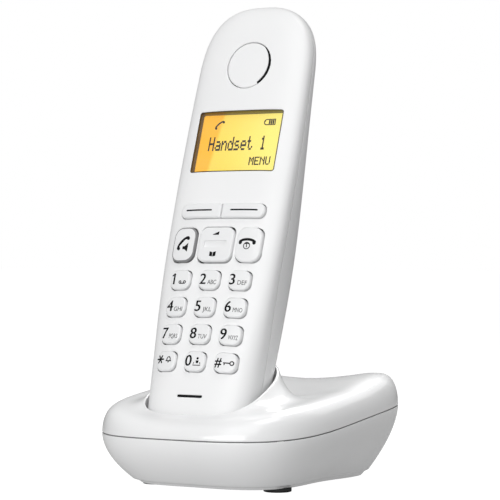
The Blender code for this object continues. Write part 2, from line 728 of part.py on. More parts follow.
def build_lower_shell(white, face):
    """The tub below the seam, with openings for the sockets and the paging key."""
    points = even_outline(46)
    rows = [[lower_point(edge, share) for edge in points]
            for share in (0.0, 0.15, 0.32, 0.5, 0.66, 0.8, 0.92)]
    for inset, lift in ((11.6, 0.25), (13.4, 0.0)):
        rows.append([Vector((*(edge * (1 - inset / edge.length)), BOTTOM_Z + lift))
                     for edge in points])
    rows.append([Vector((edge.x * 0.3, edge.y * 0.3, BOTTOM_Z)) for edge in points])
    rows.append([Vector((0, 0, BOTTOM_Z)) for edge in points])
    shell = place("base_lower_shell", skin(rows, ring=True, outside=(0, 0, -500)), white)
    thicken(shell, BASE_WALL)
    holes = [block((12.6, 30, 10.6), 0, 0, (-SOCKET_X, SOCKET_FACE_Y + 8, SOCKET_Z)),
             block((10.6, 30, 10.6), 0, 0, (SOCKET_X, SOCKET_FACE_Y + 8, SOCKET_Z))]
    for x, y in BASE_SCREW_PLACES:
        holes.append(cylinder(1.5, 8, "Z", (x, y, BOTTOM_Z), 12))
    combine(shell, place("lower_openings", gather(holes), None, None, cutter=True))
    key_hole = place("paging_hole", cylinder(PAGING_RADIUS + GAP, 16, "Y", (0, 0, 0), 20), None, face,
                     cutter=True)
    combine(shell, key_hole)


def build_base_inside(green, steel, gold, black, pocket, white, paging):
    """The base's board, sockets, contacts, feet, screws and paging key."""
    place("base_board", block(BASE_BOARD, 0, 0, BASE_BOARD_PLACE), green)

    middle = SOCKET_FACE_Y - SOCKET_LENGTH / 2
    line = place("line_socket", block((12, SOCKET_LENGTH, 10), 0, 0, (-SOCKET_X, middle, SOCKET_Z)), black)
    mouth = block((9.6, 22, 6.6), 0, 0, (-SOCKET_X, SOCKET_FACE_Y, SOCKET_Z))
    combine(line, place("line_mouth", mouth, None, cutter=True))
    inlet = place("power_socket", block((10, SOCKET_LENGTH, 10), 0, 0, (SOCKET_X, middle, SOCKET_Z)), black)
    mouth = cylinder(3.6, 20, "Y", (SOCKET_X, SOCKET_FACE_Y, SOCKET_Z), 20)
    combine(inlet, place("power_mouth", mouth, None, cutter=True))
    place("power_socket_pin", cylinder(1.0, 8.4, "Y", (SOCKET_X, SOCKET_FACE_Y - 5.4, SOCKET_Z), 12),
          steel)
    for side, word in ((-1, "left"), (1, "right")):
        at = (side * CHARGE_PAD[0], CHARGE_PAD[1], POCKET_FLOOR)
        place("cradle_contact_" + word, block((2.4, 5.0, 3.6), 0, 0, (0, 0, -0.3)), gold, pocket, at)
    foot_height = BOTTOM_Z - GAP
    for (x, y), word in zip(FOOT_PLACES, ("front_left", "front_right", "rear_left", "rear_right")):
        place("foot_" + word, cylinder(FOOT_RADIUS, foot_height, "Z", (x, y, foot_height / 2), 24), black)
    for (x, y), word in zip(BASE_SCREW_PLACES, ("left", "right", "rear")):
        profile = ((0.0, 7.0), (0.9, 7.0), (0.9, 0.0), (0.0, 0.0))
        turned("base_screw_" + word, profile, steel, None, (x, y, BOTTOM_Z), (0, 0, 0), 12)
    place("paging_key", cylinder(PAGING_RADIUS, 4.2, "Y", (0, -1.2, 0), 20), white, paging)


def main():
    """Build the whole phone."""
    start_scene()
    white = plastic("gloss_white", (0.86, 0.86, 0.86), 0.2)
    key_white = plastic("key_white", (0.8, 0.81, 0.82), 0.35)
    clear = plastic("display_amber", (0.95, 0.7, 0.25), 0.1)
    glass = plastic("panel_glass", (0.75, 0.55, 0.2), 0.1)
    black = plastic("black_plastic", (0.03, 0.03, 0.03), 0.5)
    rubber = plastic("mat_rubber", (0.6, 0.6, 0.6), 0.7)
    foot_rubber = plastic("foot_rubber", (0.04, 0.04, 0.04), 0.8)
    green = plastic("board_green", (0.03, 0.25, 0.1), 0.4)
    steel = plastic("steel", (0.6, 0.6, 0.6), 0.3, 1.0)
    gold = plastic("contact_gold", (0.8, 0.6, 0.25), 0.25, 1.0)
    cell = plastic("cell_green", (0.1, 0.35, 0.2), 0.4)

    face = frame_empty("handset_frame", FOOT_OF_FACE, -LEAN)
    paging = frame_empty("paging_frame", PAGING_PLACE, -PAGING_TILT)
    build_front_shell(face, white)
    build_rear_shell(face, white)
    build_keys(face, key_white)
    build_display(face, clear, glass, black)
    build_ear_and_mouth(face, white, black, steel)
    build_electronics(face, rubber, green, steel)
    build_battery(face, cell, steel, black)
    build_handset_metal(face, gold, steel)

    shell, slots = build_upper_shell(white)
    combine(shell, place("contact_slots", gather(slots), None, face, cutter=True))
    build_lower_shell(white, paging)
    build_base_inside(green, steel, gold, foot_rubber, face, key_white, paging)


main()
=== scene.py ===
"""Visual model of a cordless telephone that stands in the pocket of its charging base.

Sizes are millimetres. The handset is drawn in a frame of its own: x across, y from its front face
into the phone (depth) and z along it from its bottom end (height). The base is drawn in the
world's frame, with its front towards -Y.
"""
import logging
import math
from dataclasses import dataclass, field
from enum import Enum
from typing import Callable, Iterable, Optional, Sequence, Union

import bmesh
import bpy
from mathutils import Matrix, Vector


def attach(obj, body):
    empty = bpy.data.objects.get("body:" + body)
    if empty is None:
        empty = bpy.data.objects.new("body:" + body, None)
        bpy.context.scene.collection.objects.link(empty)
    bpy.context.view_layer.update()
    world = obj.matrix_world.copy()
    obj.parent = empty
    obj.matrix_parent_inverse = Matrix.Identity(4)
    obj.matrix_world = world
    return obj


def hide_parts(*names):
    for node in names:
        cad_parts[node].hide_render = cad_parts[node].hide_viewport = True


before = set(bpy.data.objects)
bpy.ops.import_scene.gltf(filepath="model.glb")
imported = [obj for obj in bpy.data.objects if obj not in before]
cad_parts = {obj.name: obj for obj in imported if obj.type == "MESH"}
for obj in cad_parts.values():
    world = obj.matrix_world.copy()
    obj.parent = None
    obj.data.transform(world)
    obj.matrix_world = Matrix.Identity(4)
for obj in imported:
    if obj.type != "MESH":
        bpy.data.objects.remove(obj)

LOG = logging.getLogger("telephone")
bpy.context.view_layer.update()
MM = 0.001
FAR = 500.0                     # well outside the telephone, in millimetres
FONT_CAP_HEIGHT = 0.729         # height of a capital in the built-in font, at size 1
Colour = tuple[float, float, float]
Flat = list[tuple[float, float]]


# ------------------------------------------------------------------ shaders
class Value:
    """A node's output that takes part in arithmetic."""

    def __init__(self, shader: "Shader", socket: bpy.types.NodeSocket) -> None:
        """Hold an output of a node of the shader."""
        self.shader = shader
        self.socket = socket

    def _math(self, operation: str, first: object, second: object = 0.0) -> "Value":
        """Return the result of a Math node on two values."""
        return self.shader.node("ShaderNodeMath", {"operation": operation}, {0: first, 1: second})

    def __add__(self, other: object) -> "Value":
        """Return self + other."""
        return self._math("ADD", self, other)

    def __sub__(self, other: object) -> "Value":
        """Return self - other."""
        return self._math("SUBTRACT", self, other)

    def __rsub__(self, other: object) -> "Value":
        """Return other - self."""
        return self._math("SUBTRACT", other, self)

    def __mul__(self, other: object) -> "Value":
        """Return self * other."""
        return self._math("MULTIPLY", self, other)

    def __truediv__(self, other: object) -> "Value":
        """Return self / other."""
        return self._math("DIVIDE", self, other)

    __radd__ = __add__
    __rmul__ = __mul__

    def __abs__(self) -> "Value":
        """Return the size of the value without its sign."""
        return self._math("ABSOLUTE", self)

    def step(self, low: float, high: float) -> "Value":
        """Return a soft step from 0 at low to 1 at high."""
        return self.shader.node("ShaderNodeMapRange", {"interpolation_type": "SMOOTHSTEP"},
                                {"Value": self, "From Min": low, "From Max": high})


class Shader:
    """A material with one Principled surface, and the nodes that vary it."""

    def __init__(self, name: str, **constants: object) -> None:
        """Make the material and set the sockets that are the same all over it.

        Args:
            name: the material's name.
            constants: socket names, with _ for a space, and their values.
        """
        self.material = bpy.data.materials.new(name)
        self.material.use_nodes = True
        self.tree = self.material.node_tree
        self.surface = self.tree.nodes["Principled BSDF"]
        for socket, value in constants.items():
            self.surface.inputs[socket.replace("_", " ")].default_value = value

    def node(self, kind: str, settings: dict[str, object], inputs: dict[object, object],
             output: Union[int, str] = 0) -> Value:
        """Add a node.

        Args:
            kind: the node's type.
            settings: its properties, set first; "stops" gives a ramp's positions and colours.
            inputs: values or links of its sockets.
            output: which output is wanted.

        Returns:
            The output.
        """
        made = self.tree.nodes.new(kind)
        for key, value in settings.items():
            if key == "stops":
                self._set_stops(made.color_ramp, value)
            else:
                setattr(made, key, value)
        for key, value in inputs.items():
            self.feed(made.inputs[key], value)
        return Value(self, made.outputs[output])

    @staticmethod
    def _set_stops(ramp: bpy.types.ColorRamp, stops: Sequence[tuple[float, Colour]]) -> None:
        """Give a ramp its positions and colours."""
        while len(ramp.elements) < len(stops):
            ramp.elements.new(1.0)
        for element, (position, colour) in zip(ramp.elements, stops):
            element.position = position
            element.color = (*colour, 1.0)

    def feed(self, socket: bpy.types.NodeSocket, value: object) -> None:
        """Link a value to a socket, or set the socket to it."""
        if isinstance(value, Value):
            self.tree.links.new(value.socket, socket)
        else:
            socket.default_value = value

    def vary(self, **inputs: Value) -> None:
        """Link values to sockets of the surface, named with _ for a space."""
        for name, value in inputs.items():
            self.feed(self.surface.inputs[name.replace("_", " ")], value)

    def place(self) -> Value:
        """Return the object coordinates."""
        return self.node("ShaderNodeTexCoord", {}, {}, "Object")

    def along_handset(self, foot_of_face: Vector, lean: float) -> Value:
        """Return the coordinates in the handset's own frame, in millimetres."""
        return self.node("ShaderNodeMapping", {"vector_type": "TEXTURE"},
                         {"Vector": self.place(), "Location": foot_of_face * MM,
                          "Rotation": (-lean, 0.0, 0.0), "Scale": (MM, MM, MM)})

    def axes(self, place: Value) -> tuple[Value, Value, Value]:
        """Return the three parts of a vector."""
        split = self.node("ShaderNodeSeparateXYZ", {}, {0: place})
        return tuple(Value(self, output) for output in split.socket.node.outputs)

    def noise(self, place: Value, grain: float, detail: float = 3.0) -> Value:
        """Return a noise from 0 to 1 whose features are about grain metres across."""
        return self.node("ShaderNodeTexNoise", {},
                         {"Vector": place, "Scale": 1.0 / grain, "Detail": detail})

    def blend(self, share: object, first: object, second: object) -> Value:
        """Return a mix of two colours, the second where share is 1."""
        ends = [(*c, 1.0) if isinstance(c, tuple) else c for c in (first, second)]
        return self.node("ShaderNodeMix", {"data_type": "RGBA"}, {0: share, 6: ends[0], 7: ends[1]}, 2)

    def bump(self, height: Value, strength: float, distance: float) -> Value:
        """Return the normal of a surface that the height raises by up to distance metres."""
        return self.node("ShaderNodeBump", {}, {"Height": height, "Strength": strength,
                                                "Distance": distance})


@dataclass(frozen=True)
class Moulded:
    """Moulded plastic or rubber: faint flow marks, a fine grain and a slightly uneven polish."""

    name: str
    colour: Colour
    shade: Colour
    roughness: float = 0.3
    spread: float = 0.06
    coat: float = 0.0
    grain: float = 0.0003
    relief: float = 0.08
    depth: float = 0.00003
    gloss: float = 0.5

    def material(self) -> bpy.types.Material:
        """Return the finish as a material."""
        shader = Shader(self.name, Coat_Weight=self.coat, Coat_Roughness=0.12,
                        Specular_IOR_Level=self.gloss)
        place = shader.place()
        flow = shader.noise(place, 0.035, 2.0)
        fine = shader.noise(place, self.grain, 2.0)
        worn = shader.noise(place, 0.006, 4.0)
        shader.vary(Base_Color=shader.blend(flow.step(0.35, 0.75), self.colour, self.shade),
                    Roughness=worn * self.spread + fine * self.spread + (self.roughness - self.spread),
                    Normal=shader.bump(fine + worn * 0.5, self.relief, self.depth))
        return shader.material


@dataclass(frozen=True)
class Metal:
    """Drawn or plated metal with fine scratches along its length."""

    name: str
    colour: Colour
    tarnish: Colour
    roughness: float = 0.28

    def material(self) -> bpy.types.Material:
        """Return the finish as a material."""
        shader = Shader(self.name, Metallic=1.0)
        place = shader.place()
        long = shader.node("ShaderNodeMapping", {}, {"Vector": place, "Scale": (1.0, 1.0, 0.08)})
        scratch = shader.noise(long, 0.0002, 3.0)
        stain = shader.noise(place, 0.003, 4.0)
        shader.vary(Base_Color=shader.blend(stain.step(0.45, 0.8), self.colour, self.tarnish),
                    Roughness=scratch * 0.16 + stain * 0.1 + (self.roughness - 0.13),
                    Normal=shader.bump(scratch, 0.12, 0.00003))
        return shader.material


@dataclass(frozen=True)
class Board:
    """Circuit board: green resist over copper tracks, with bright pads in a grid."""

    name: str
    resist: Colour = (0.012, 0.13, 0.05)
    copper: Colour = (0.03, 0.24, 0.09)
    solder: Colour = (0.62, 0.6, 0.55)

    def material(self) -> bpy.types.Material:
        """Return the finish as a material."""
        shader = Shader(self.name, Coat_Weight=0.3)
        place = shader.place()
        cells = shader.node("ShaderNodeTexBrick", {},
                            {"Vector": place, "Scale": 130.0, "Mortar Size": 0.06,
                             "Color1": (0, 0, 0, 1), "Color2": (0, 0, 0, 1),
                             "Mortar": (1, 1, 1, 1)}, "Fac")
        dots = shader.node("ShaderNodeTexVoronoi", {}, {"Vector": place, "Scale": 420.0})
        pads = 1.0 - dots.step(0.16, 0.2)
        tracks = shader.blend(cells, self.resist, self.copper)
        shader.vary(Base_Color=shader.blend(pads, tracks, self.solder), Metallic=pads * 0.8,
                    Roughness=0.42 - pads * 0.15,
                    Normal=shader.bump(cells * 0.5 + pads, 0.3, 0.0001))
        return shader.material


@dataclass(frozen=True)
class BacklitPanel:
    """Liquid crystal panel lit from behind: deep amber along one side, then paler and paler."""

    name: str
    foot_of_face: Vector
    lean: float
    middle: float
    half_width: float
    deep: Colour = (1.0, 0.5, 0.022)
    warm: Colour = (1.0, 0.7, 0.09)
    pale: Colour = (1.0, 0.87, 0.2)

    def material(self) -> bpy.types.Material:
        """Return the finish as a material."""
        shader = Shader(self.name, Roughness=0.5, Emission_Strength=0.82, Specular_IOR_Level=0.2)
        place = shader.along_handset(self.foot_of_face, self.lean)
        across, _, height = shader.axes(place)
        share = across / (2 * self.half_width) + 0.5
        # edge and lamp mark a slanted strip along the left side that is coloured deep amber; lamp names
        # this mask, not a lamp. Past the strip the panel turns paler towards the right.
        edge = (height - self.middle) * 0.0045 + 0.2
        lamp = (share - edge).step(-0.025, 0.03)
        mottle = shader.noise(place, 2.5, 2.0)
        body = shader.blend((share + mottle * 0.08).step(0.15, 1.1), self.warm, self.pale)
        amber = shader.blend(lamp, self.deep, body)
        shader.vary(Base_Color=shader.blend(0.72, amber, (0.0, 0.0, 0.0)), Emission_Color=amber)
        return shader.material


@dataclass(frozen=True)
class CellWrap:
    """Shrink wrap of a rechargeable cell: a coloured sleeve with a pale band round one end."""

    name: str
    sleeve: Colour
    band: Colour
    foot_of_face: Vector
    lean: float
    band_from: float

    def material(self) -> bpy.types.Material:
        """Return the finish as a material."""
        shader = Shader(self.name, Coat_Weight=0.4)
        place = shader.along_handset(self.foot_of_face, self.lean)
        _, _, height = shader.axes(place)
        crinkle = shader.noise(place, 0.9, 3.0)
        end = (height - self.band_from).step(-0.05, 0.05)
        shader.vary(Base_Color=shader.blend(end, self.sleeve, self.band),
                    Roughness=crinkle * 0.15 + 0.25, Normal=shader.bump(crinkle, 0.15, 0.0001))
        return shader.material


class Finishes:
    """Every finish of the telephone, made once."""

    def __init__(self, form: "HandsetForm") -> None:
        """Make the materials."""
        face = Vector(form.foot_of_face)
        self.shell = Moulded("gloss_white", (0.88, 0.882, 0.885), (0.86, 0.864, 0.868), 0.42, 0.05,
                             coat=0.1, grain=0.0006, relief=0.04).material()
        self.base_shell = Moulded("base_gloss_white", (0.88, 0.882, 0.885), (0.86, 0.864, 0.868),
                                  0.24, 0.05, coat=0.5, grain=0.0006, relief=0.03).material()
        self.key = Moulded("key_satin_white", (0.84, 0.845, 0.85), (0.82, 0.825, 0.832), 0.36,
                           0.05, coat=0.15, grain=0.0002, relief=0.07).material()
        # A darker grey for the skirt that shows round the talk key's sides.
        self.dark_skirt = Moulded("key_skirt_grey", (0.26, 0.26, 0.265), (0.2, 0.2, 0.205), 0.4).material()
        self.ink = Moulded("printed_legend", (0.008, 0.008, 0.009), (0.014, 0.014, 0.015), 0.5,
                           grain=0.00008, gloss=0.1).material()
        self.pale_ink = Moulded("printed_letters", (0.03, 0.03, 0.032), (0.045, 0.045, 0.048), 0.5,
                                grain=0.00008).material()
        # Dark brown for the walls of the display's recess: painted shade where the walls turn from the
        # light.
        self.recess_shade = Moulded("window_liner_brown", (0.035, 0.016, 0.006), (0.022, 0.011, 0.005),
                             0.3, coat=0.2).material()
        self.black = Moulded("black_plastic", (0.012, 0.012, 0.013), (0.02, 0.02, 0.021), 0.45,
                             grain=0.0004, relief=0.15).material()
        self.rubber = Moulded("foot_rubber", (0.016, 0.016, 0.017), (0.024, 0.024, 0.025), 0.75,
                              grain=0.0003, relief=0.3, depth=0.00006).material()
        self.mat = Moulded("mat_silicone", (0.42, 0.43, 0.44), (0.36, 0.37, 0.38), 0.65,
                           grain=0.0005, relief=0.2).material()
        self.steel = Metal("bright_steel", (0.62, 0.62, 0.61), (0.5, 0.49, 0.47)).material()
        self.gold = Metal("contact_gold", (0.83, 0.6, 0.26), (0.7, 0.5, 0.2), 0.24).material()
        self.board = Board("circuit_board").material()
        self.panel = BacklitPanel("amber_panel", face, form.lean, form.window_at,
                                  form.window_size[0] / 2).material()
        self.cell = CellWrap("cell_wrap", (0.03, 0.2, 0.09), (0.7, 0.72, 0.7), face, form.lean,
                             form.cell_bottom + form.cell_length - 9.0).material()
        self.liquid = Moulded("crystal_dark", (0.012, 0.008, 0.002), (0.018, 0.012, 0.003), 0.6,
                              gloss=0.1).material()
        # Dark grey strip in the base's seam: painted shade for the gap between the shells.
        self.seam_shade = Moulded("gasket_grey", (0.2, 0.2, 0.2), (0.15, 0.15, 0.15), 0.7).material()
        self.clear = self._clear()

    @staticmethod
    def _clear() -> bpy.types.Material:
        """Return the clear window: almost nothing but its gloss and a faint smear."""
        shader = Shader("clear_window", Roughness=0.06, IOR=1.45, Specular_IOR_Level=0.15,
                        Base_Color=(1.0, 0.98, 0.94, 1.0))
        smear = shader.noise(shader.place(), 0.008, 3.0)
        shader.vary(Alpha=smear * 0.03 + 0.02)
        return shader.material


# ------------------------------------------------------------------ curves and small maths
def signed_power(value: float, exponent: float) -> float:
    """Return a power that keeps its base's sign, for superellipses."""
    return math.copysign(abs(value) ** exponent, value)


def soft(value: float) -> float:
    """Return a soft step from 0 to 1."""
    value = min(max(value, 0.0), 1.0)
    return value * value * (3 - 2 * value)


def rounded_end(distance: float, squareness: float) -> float:
    """Return a fall from 1 at distance 0 to 0 at 1, like a quarter of a superellipse."""
    return max(1.0 - max(distance, 0.0) ** squareness, 0.0) ** (1.0 / squareness)


def spaced(start: float, stop: float, count: int) -> list[float]:
    """Return count + 1 even steps from start to stop."""
    return [start + (stop - start) * i / count for i in range(count + 1)]


def even_angles(across: float, reach: float, squareness: float, count: int) -> list[float]:
    """Return angles from 0 to pi whose points lie evenly along half a superellipse."""
    angles = [math.pi * (1 - math.cos(math.pi * i / 4000)) / 2 for i in range(4001)]
    angles = sorted(set(angles) | set(math.pi / 2 + s * (k / 600) ** 3
                                      for k in range(1, 601) for s in (-0.5, 0.5)))
    points = [(across * signed_power(math.cos(a), 2 / squareness),
               reach * abs(math.sin(a)) ** (2 / squareness)) for a in angles]
    walked = [0.0]
    for a, b in zip(points, points[1:]):
        walked.append(walked[-1] + math.dist(a, b))
    found, at = [], 0
    for i in range(count + 1):
        target = walked[-1] * i / count
        while at < len(walked) - 2 and walked[at + 1] < target:
            at += 1
        span = (walked[at + 1] - walked[at]) or 1.0
        found.append(angles[at] + (angles[at + 1] - angles[at]) * (target - walked[at]) / span)
    return found


def rounded_rectangle(width: float, length: float, corner: float, steps: int = 8, straight: int = 1,
                      square_side: int = 0) -> Flat:
    """Return the outline of a rectangle with round corners, anticlockwise from +x.

    Args:
        width: full width.
        length: full length.
        corner: radius of the corners.
        steps: parts of each corner.
        straight: parts of each straight side.
        square_side: 1 or -1 to leave the corners at +x or -x nearly square.

    Returns:
        Points round the outline, as many whatever the sizes are.
    """
    points: Flat = []
    corners = ((1, 1), (-1, 1), (-1, -1), (1, -1))
    for quarter, (sx, sy) in enumerate(corners):
        radius = max(min(0.25 if sx == square_side else corner, width / 2, length / 2), 0.01)
        for i in range(steps + 1):
            angle = (quarter + i / steps) * math.pi / 2
            points.append((sx * (width / 2 - radius) + radius * math.cos(angle),
                           sy * (length / 2 - radius) + radius * math.sin(angle)))
    made: Flat = []
    for i, (ax, ay) in enumerate(points):
        bx, by = points[(i + 1) % len(points)]
        parts = straight if i % (steps + 1) == steps else 1
        made += [(ax + (bx - ax) * k / parts, ay + (by - ay) * k / parts) for k in range(parts)]
    return made


def subdivided(points: Flat, longest: float) -> Flat:
    """Return a closed outline with no side longer than longest."""
    made: Flat = []
    for (ax, ay), (bx, by) in zip(points, points[1:] + points[:1]):
        parts = max(1, math.ceil(math.dist((ax, ay), (bx, by)) / longest))
        made += [(ax + (bx - ax) * i / parts, ay + (by - ay) * i / parts) for i in range(parts)]
    return made


# ------------------------------------------------------------------ meshes
def skin(rows: Sequence[Sequence[Sequence[float]]], ring: bool = True, first_cap: bool = False,
         last_cap: bool = False) -> bmesh.types.BMesh:
    """Join rows of points into a surface.

    Args:
        rows: rows of as many points each.
        ring: whether each row closes on itself.
        first_cap: whether the first row is closed by a face.
        last_cap: whether the last row is closed by a face.

    Returns:
        The surface, its doubles merged and its faces made to agree.
    """
    shape = bmesh.new()
    grid = [[shape.verts.new(point) for point in row] for row in rows]
    for low, high in zip(grid, grid[1:]):
        count = len(low)
        for i in range(count if ring else count - 1):
            j = (i + 1) % count
            shape.faces.new((low[i], low[j], high[j], high[i]))
    for wanted, row in ((first_cap, grid[0]), (last_cap, grid[-1])):
        if wanted:
            shape.faces.new(row)
    bmesh.ops.remove_doubles(shape, verts=shape.verts, dist=1e-4)
    bmesh.ops.dissolve_degenerate(shape, edges=shape.edges, dist=1e-4)
    bmesh.ops.recalc_face_normals(shape, faces=shape.faces)
    return shape


def faced(shape: bmesh.types.BMesh, outside: Vector) -> bmesh.types.BMesh:
    """Return an open surface with its faces turned towards a far point."""
    facing = sum((outside - f.calc_center_median()).dot(f.normal) * f.calc_area() for f in shape.faces)
    if facing < 0:
        bmesh.ops.reverse_faces(shape, faces=shape.faces)
    return shape


def gathered(shapes: Iterable[bmesh.types.BMesh]) -> bmesh.types.BMesh:
    """Return one bmesh that holds several, which are freed."""
    whole = bmesh.new()
    for shape in shapes:
        held = bpy.data.meshes.new("held")
        shape.to_mesh(held)
        shape.free()
        whole.from_mesh(held)
        bpy.data.meshes.remove(held)
    return whole


def box(size: Sequence[float], centre: Sequence[float] = (0, 0, 0), edge: float = 0.0,
        steps: int = 2) -> bmesh.types.BMesh:
    """Return a block with all its edges rounded by edge."""
    shape = bmesh.new()
    bmesh.ops.create_cube(shape, size=1.0)
    bmesh.ops.scale(shape, vec=size, verts=shape.verts)
    if edge:
        bmesh.ops.bevel(shape, geom=shape.edges[:], offset=edge, segments=steps, profile=0.5,
                        affect="EDGES")
    bmesh.ops.translate(shape, vec=centre, verts=shape.verts)
    return shape


def turned(profile: Sequence[tuple[float, float]], steps: int = 40) -> bmesh.types.BMesh:
    """Return a solid of revolution about z, from (radius, z) points that end on the axis."""
    rows = [[(r * math.cos(2 * math.pi * i / steps), r * math.sin(2 * math.pi * i / steps), z)
             for i in range(steps)] for r, z in profile]
    return skin(rows)


def moved(shape: bmesh.types.BMesh, matrix: Matrix) -> bmesh.types.BMesh:
    """Return the shape after a transform."""
    bmesh.ops.transform(shape, matrix=matrix, verts=shape.verts)
    return shape


def object_of(name: str, shape: bmesh.types.BMesh) -> bpy.types.Object:
    """Make an object of a bmesh, which is freed."""
    mesh = bpy.data.meshes.new(name)
    shape.to_mesh(mesh)
    shape.free()
    made = bpy.data.objects.new(name, mesh)
    bpy.context.scene.collection.objects.link(made)
    return made


def evaluated(source: bpy.types.Object, name: str) -> bpy.types.Mesh:
    """Return the object's evaluated mesh, and remove the object."""
    graph = bpy.context.evaluated_depsgraph_get()
    mesh = bpy.data.meshes.new_from_object(source.evaluated_get(graph), depsgraph=graph)
    mesh.name = name
    bpy.data.objects.remove(source, do_unlink=True)
    return mesh


def carved(name: str, body: bmesh.types.BMesh, wall: float = 0.0, edge: float = 0.0,
           cutters: Optional[bmesh.types.BMesh] = None, keep: Optional[bmesh.types.BMesh] = None
           ) -> bmesh.types.BMesh:
    """Give a surface a wall, round its rims, and cut it.

    Args:
        name: a name for the work objects.
        body: the surface, facing out.
        wall: thickness of the wall on its inner side, or 0 for a solid.
        edge: radius of its rims, or 0.
        cutters: what is taken away.
        keep: if given, only what lies inside it stays.

    Returns:
        The finished shape.
    """
    work = object_of(name, body)
    tools = []
    if wall:
        step = work.modifiers.new("wall", "SOLIDIFY")
        step.thickness = wall
        step.offset = -1.0
    if edge:
        step = work.modifiers.new("rims", "BEVEL")
        step.width = edge
        step.segments = 3
        step.limit_method = "ANGLE"
        step.angle_limit = math.radians(60)
    for tool, operation in ((keep, "INTERSECT"), (cutters, "DIFFERENCE")):
        if tool is not None:
            cutter = object_of(name + "_" + operation.lower(), tool)
            tools.append(cutter)
            step = work.modifiers.new(operation, "BOOLEAN")
            step.operation = operation
            step.object = cutter
    mesh = evaluated(work, name)
    for cutter in tools:
        bpy.data.objects.remove(cutter, do_unlink=True)
    shape = bmesh.new()
    shape.from_mesh(mesh)
    bpy.data.meshes.remove(mesh)
    return shape


class Assembly:
    """What every sub-assembly can do: turn shapes into pieces that ride on CAD bodies."""

    finishes: Finishes

    def piece(self, name: str, shape: bmesh.types.BMesh, finish: bpy.types.Material, body: str,
              matrix: Matrix, stands_for: Sequence[str] = (), slot: str = "",
              crease: float = 32.0, weighted: bool = False) -> bpy.types.Object:
        """Make a finished piece with its place in its mesh.

        Args:
            name: the piece's name.
            shape: its shape in millimetres, which is freed.
            finish: its material.
            body: the CAD body that it rides on.
            matrix: from its own frame in millimetres to the world in metres.
            stands_for: CAD nodes that it replaces.
            slot: not used.
            crease: degrees between faces past which an edge is sharp.
            weighted: whether large faces hold their shading flat next to small ones.

        Returns:
            The object.
        """
        made = object_of(name, moved(shape, matrix))
        made.data.shade_smooth()
        made.data.set_sharp_from_angle(angle=math.radians(crease))
        if weighted:
            step = made.modifiers.new("flat", "WEIGHTED_NORMAL")
            step.keep_sharp = True
            mesh = evaluated(made, name)
            made = bpy.data.objects.new(name, mesh)
            bpy.context.scene.collection.objects.link(made)
        made.data.materials.clear()
        made.data.materials.append(finish)
        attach(made, body)
        if stands_for:
            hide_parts(*stands_for)
        LOG.info("%s: %d faces on %s", name, len(made.data.polygons), body)
        return made

    def dress(self, finish: bpy.types.Material, *nodes: str) -> None:
        """Give CAD nodes that stay in view a finish."""
        for node in nodes:
            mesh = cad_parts[node].data
            mesh.materials.clear()
            mesh.materials.append(finish)
            LOG.info("%s: dressed in %s", node, finish.name)


class Repeated:
    """Geometry nodes that put one small shape at every point of a mesh."""

    def __init__(self) -> None:
        """Build the tree, with its sizes as named inputs."""
        self.tree = bpy.data.node_groups.new("repeated_shape", "GeometryNodeTree")
        face = self.tree.interface
        face.new_socket("Points", in_out="INPUT", socket_type="NodeSocketGeometry")
        self.inputs = {
            name: face.new_socket(name, in_out="INPUT", socket_type=kind).identifier
            for name, kind in (("Shape", "NodeSocketObject"), ("Finish", "NodeSocketMaterial"),
                               ("Stretch", "NodeSocketVector"), ("Turn", "NodeSocketRotation"))}
        face.new_socket("Mesh", in_out="OUTPUT", socket_type="NodeSocketGeometry")
        start = self.tree.nodes.new("NodeGroupInput")
        end = self.tree.nodes.new("NodeGroupOutput")
        source = self.tree.nodes.new("GeometryNodeObjectInfo")
        spread = self.tree.nodes.new("GeometryNodeInstanceOnPoints")
        real = self.tree.nodes.new("GeometryNodeRealizeInstances")
        paint = self.tree.nodes.new("GeometryNodeSetMaterial")
        for output, node, socket in (
                (start.outputs["Points"], spread, "Points"), (start.outputs["Shape"], source, "Object"),
                (source.outputs["Geometry"], spread, "Instance"),
                (start.outputs["Stretch"], spread, "Scale"), (start.outputs["Turn"], spread, "Rotation"),
                (spread.outputs["Instances"], real, "Geometry"), (real.outputs[0], paint, "Geometry"),
                (start.outputs["Finish"], paint, "Material"), (paint.outputs[0], end, "Mesh")):
            self.tree.links.new(output, node.inputs[socket])

    def spread(self, points: Sequence[Sequence[float]], shape: bmesh.types.BMesh,
               finish: bpy.types.Material, stretch: Sequence[float] = (1, 1, 1),
               turn: Sequence[float] = (0, 0, 0)) -> bmesh.types.BMesh:
        """Put a shape at every point.

        Args:
            points: where it goes.
            shape: the shape, which is freed.
            finish: its material.
            stretch: its scale along each axis.
            turn: its turn about each axis.

        Returns:
            One bmesh of all the copies.
        """
        holder = bmesh.new()
        for point in points:
            holder.verts.new(point)
        carrier = object_of("points", holder)
        source = object_of("shape", shape)
        step = carrier.modifiers.new("repeat", "NODES")
        step.node_group = self.tree
        for name, value in (("Shape", source), ("Finish", finish), ("Stretch", stretch),
                            ("Turn", turn)):
            step[self.inputs[name]] = value
        mesh = evaluated(carrier, "repeated")
        bpy.data.objects.remove(source, do_unlink=True)
        made = bmesh.new()
        made.from_mesh(mesh)
        bpy.data.meshes.remove(mesh)
        return made


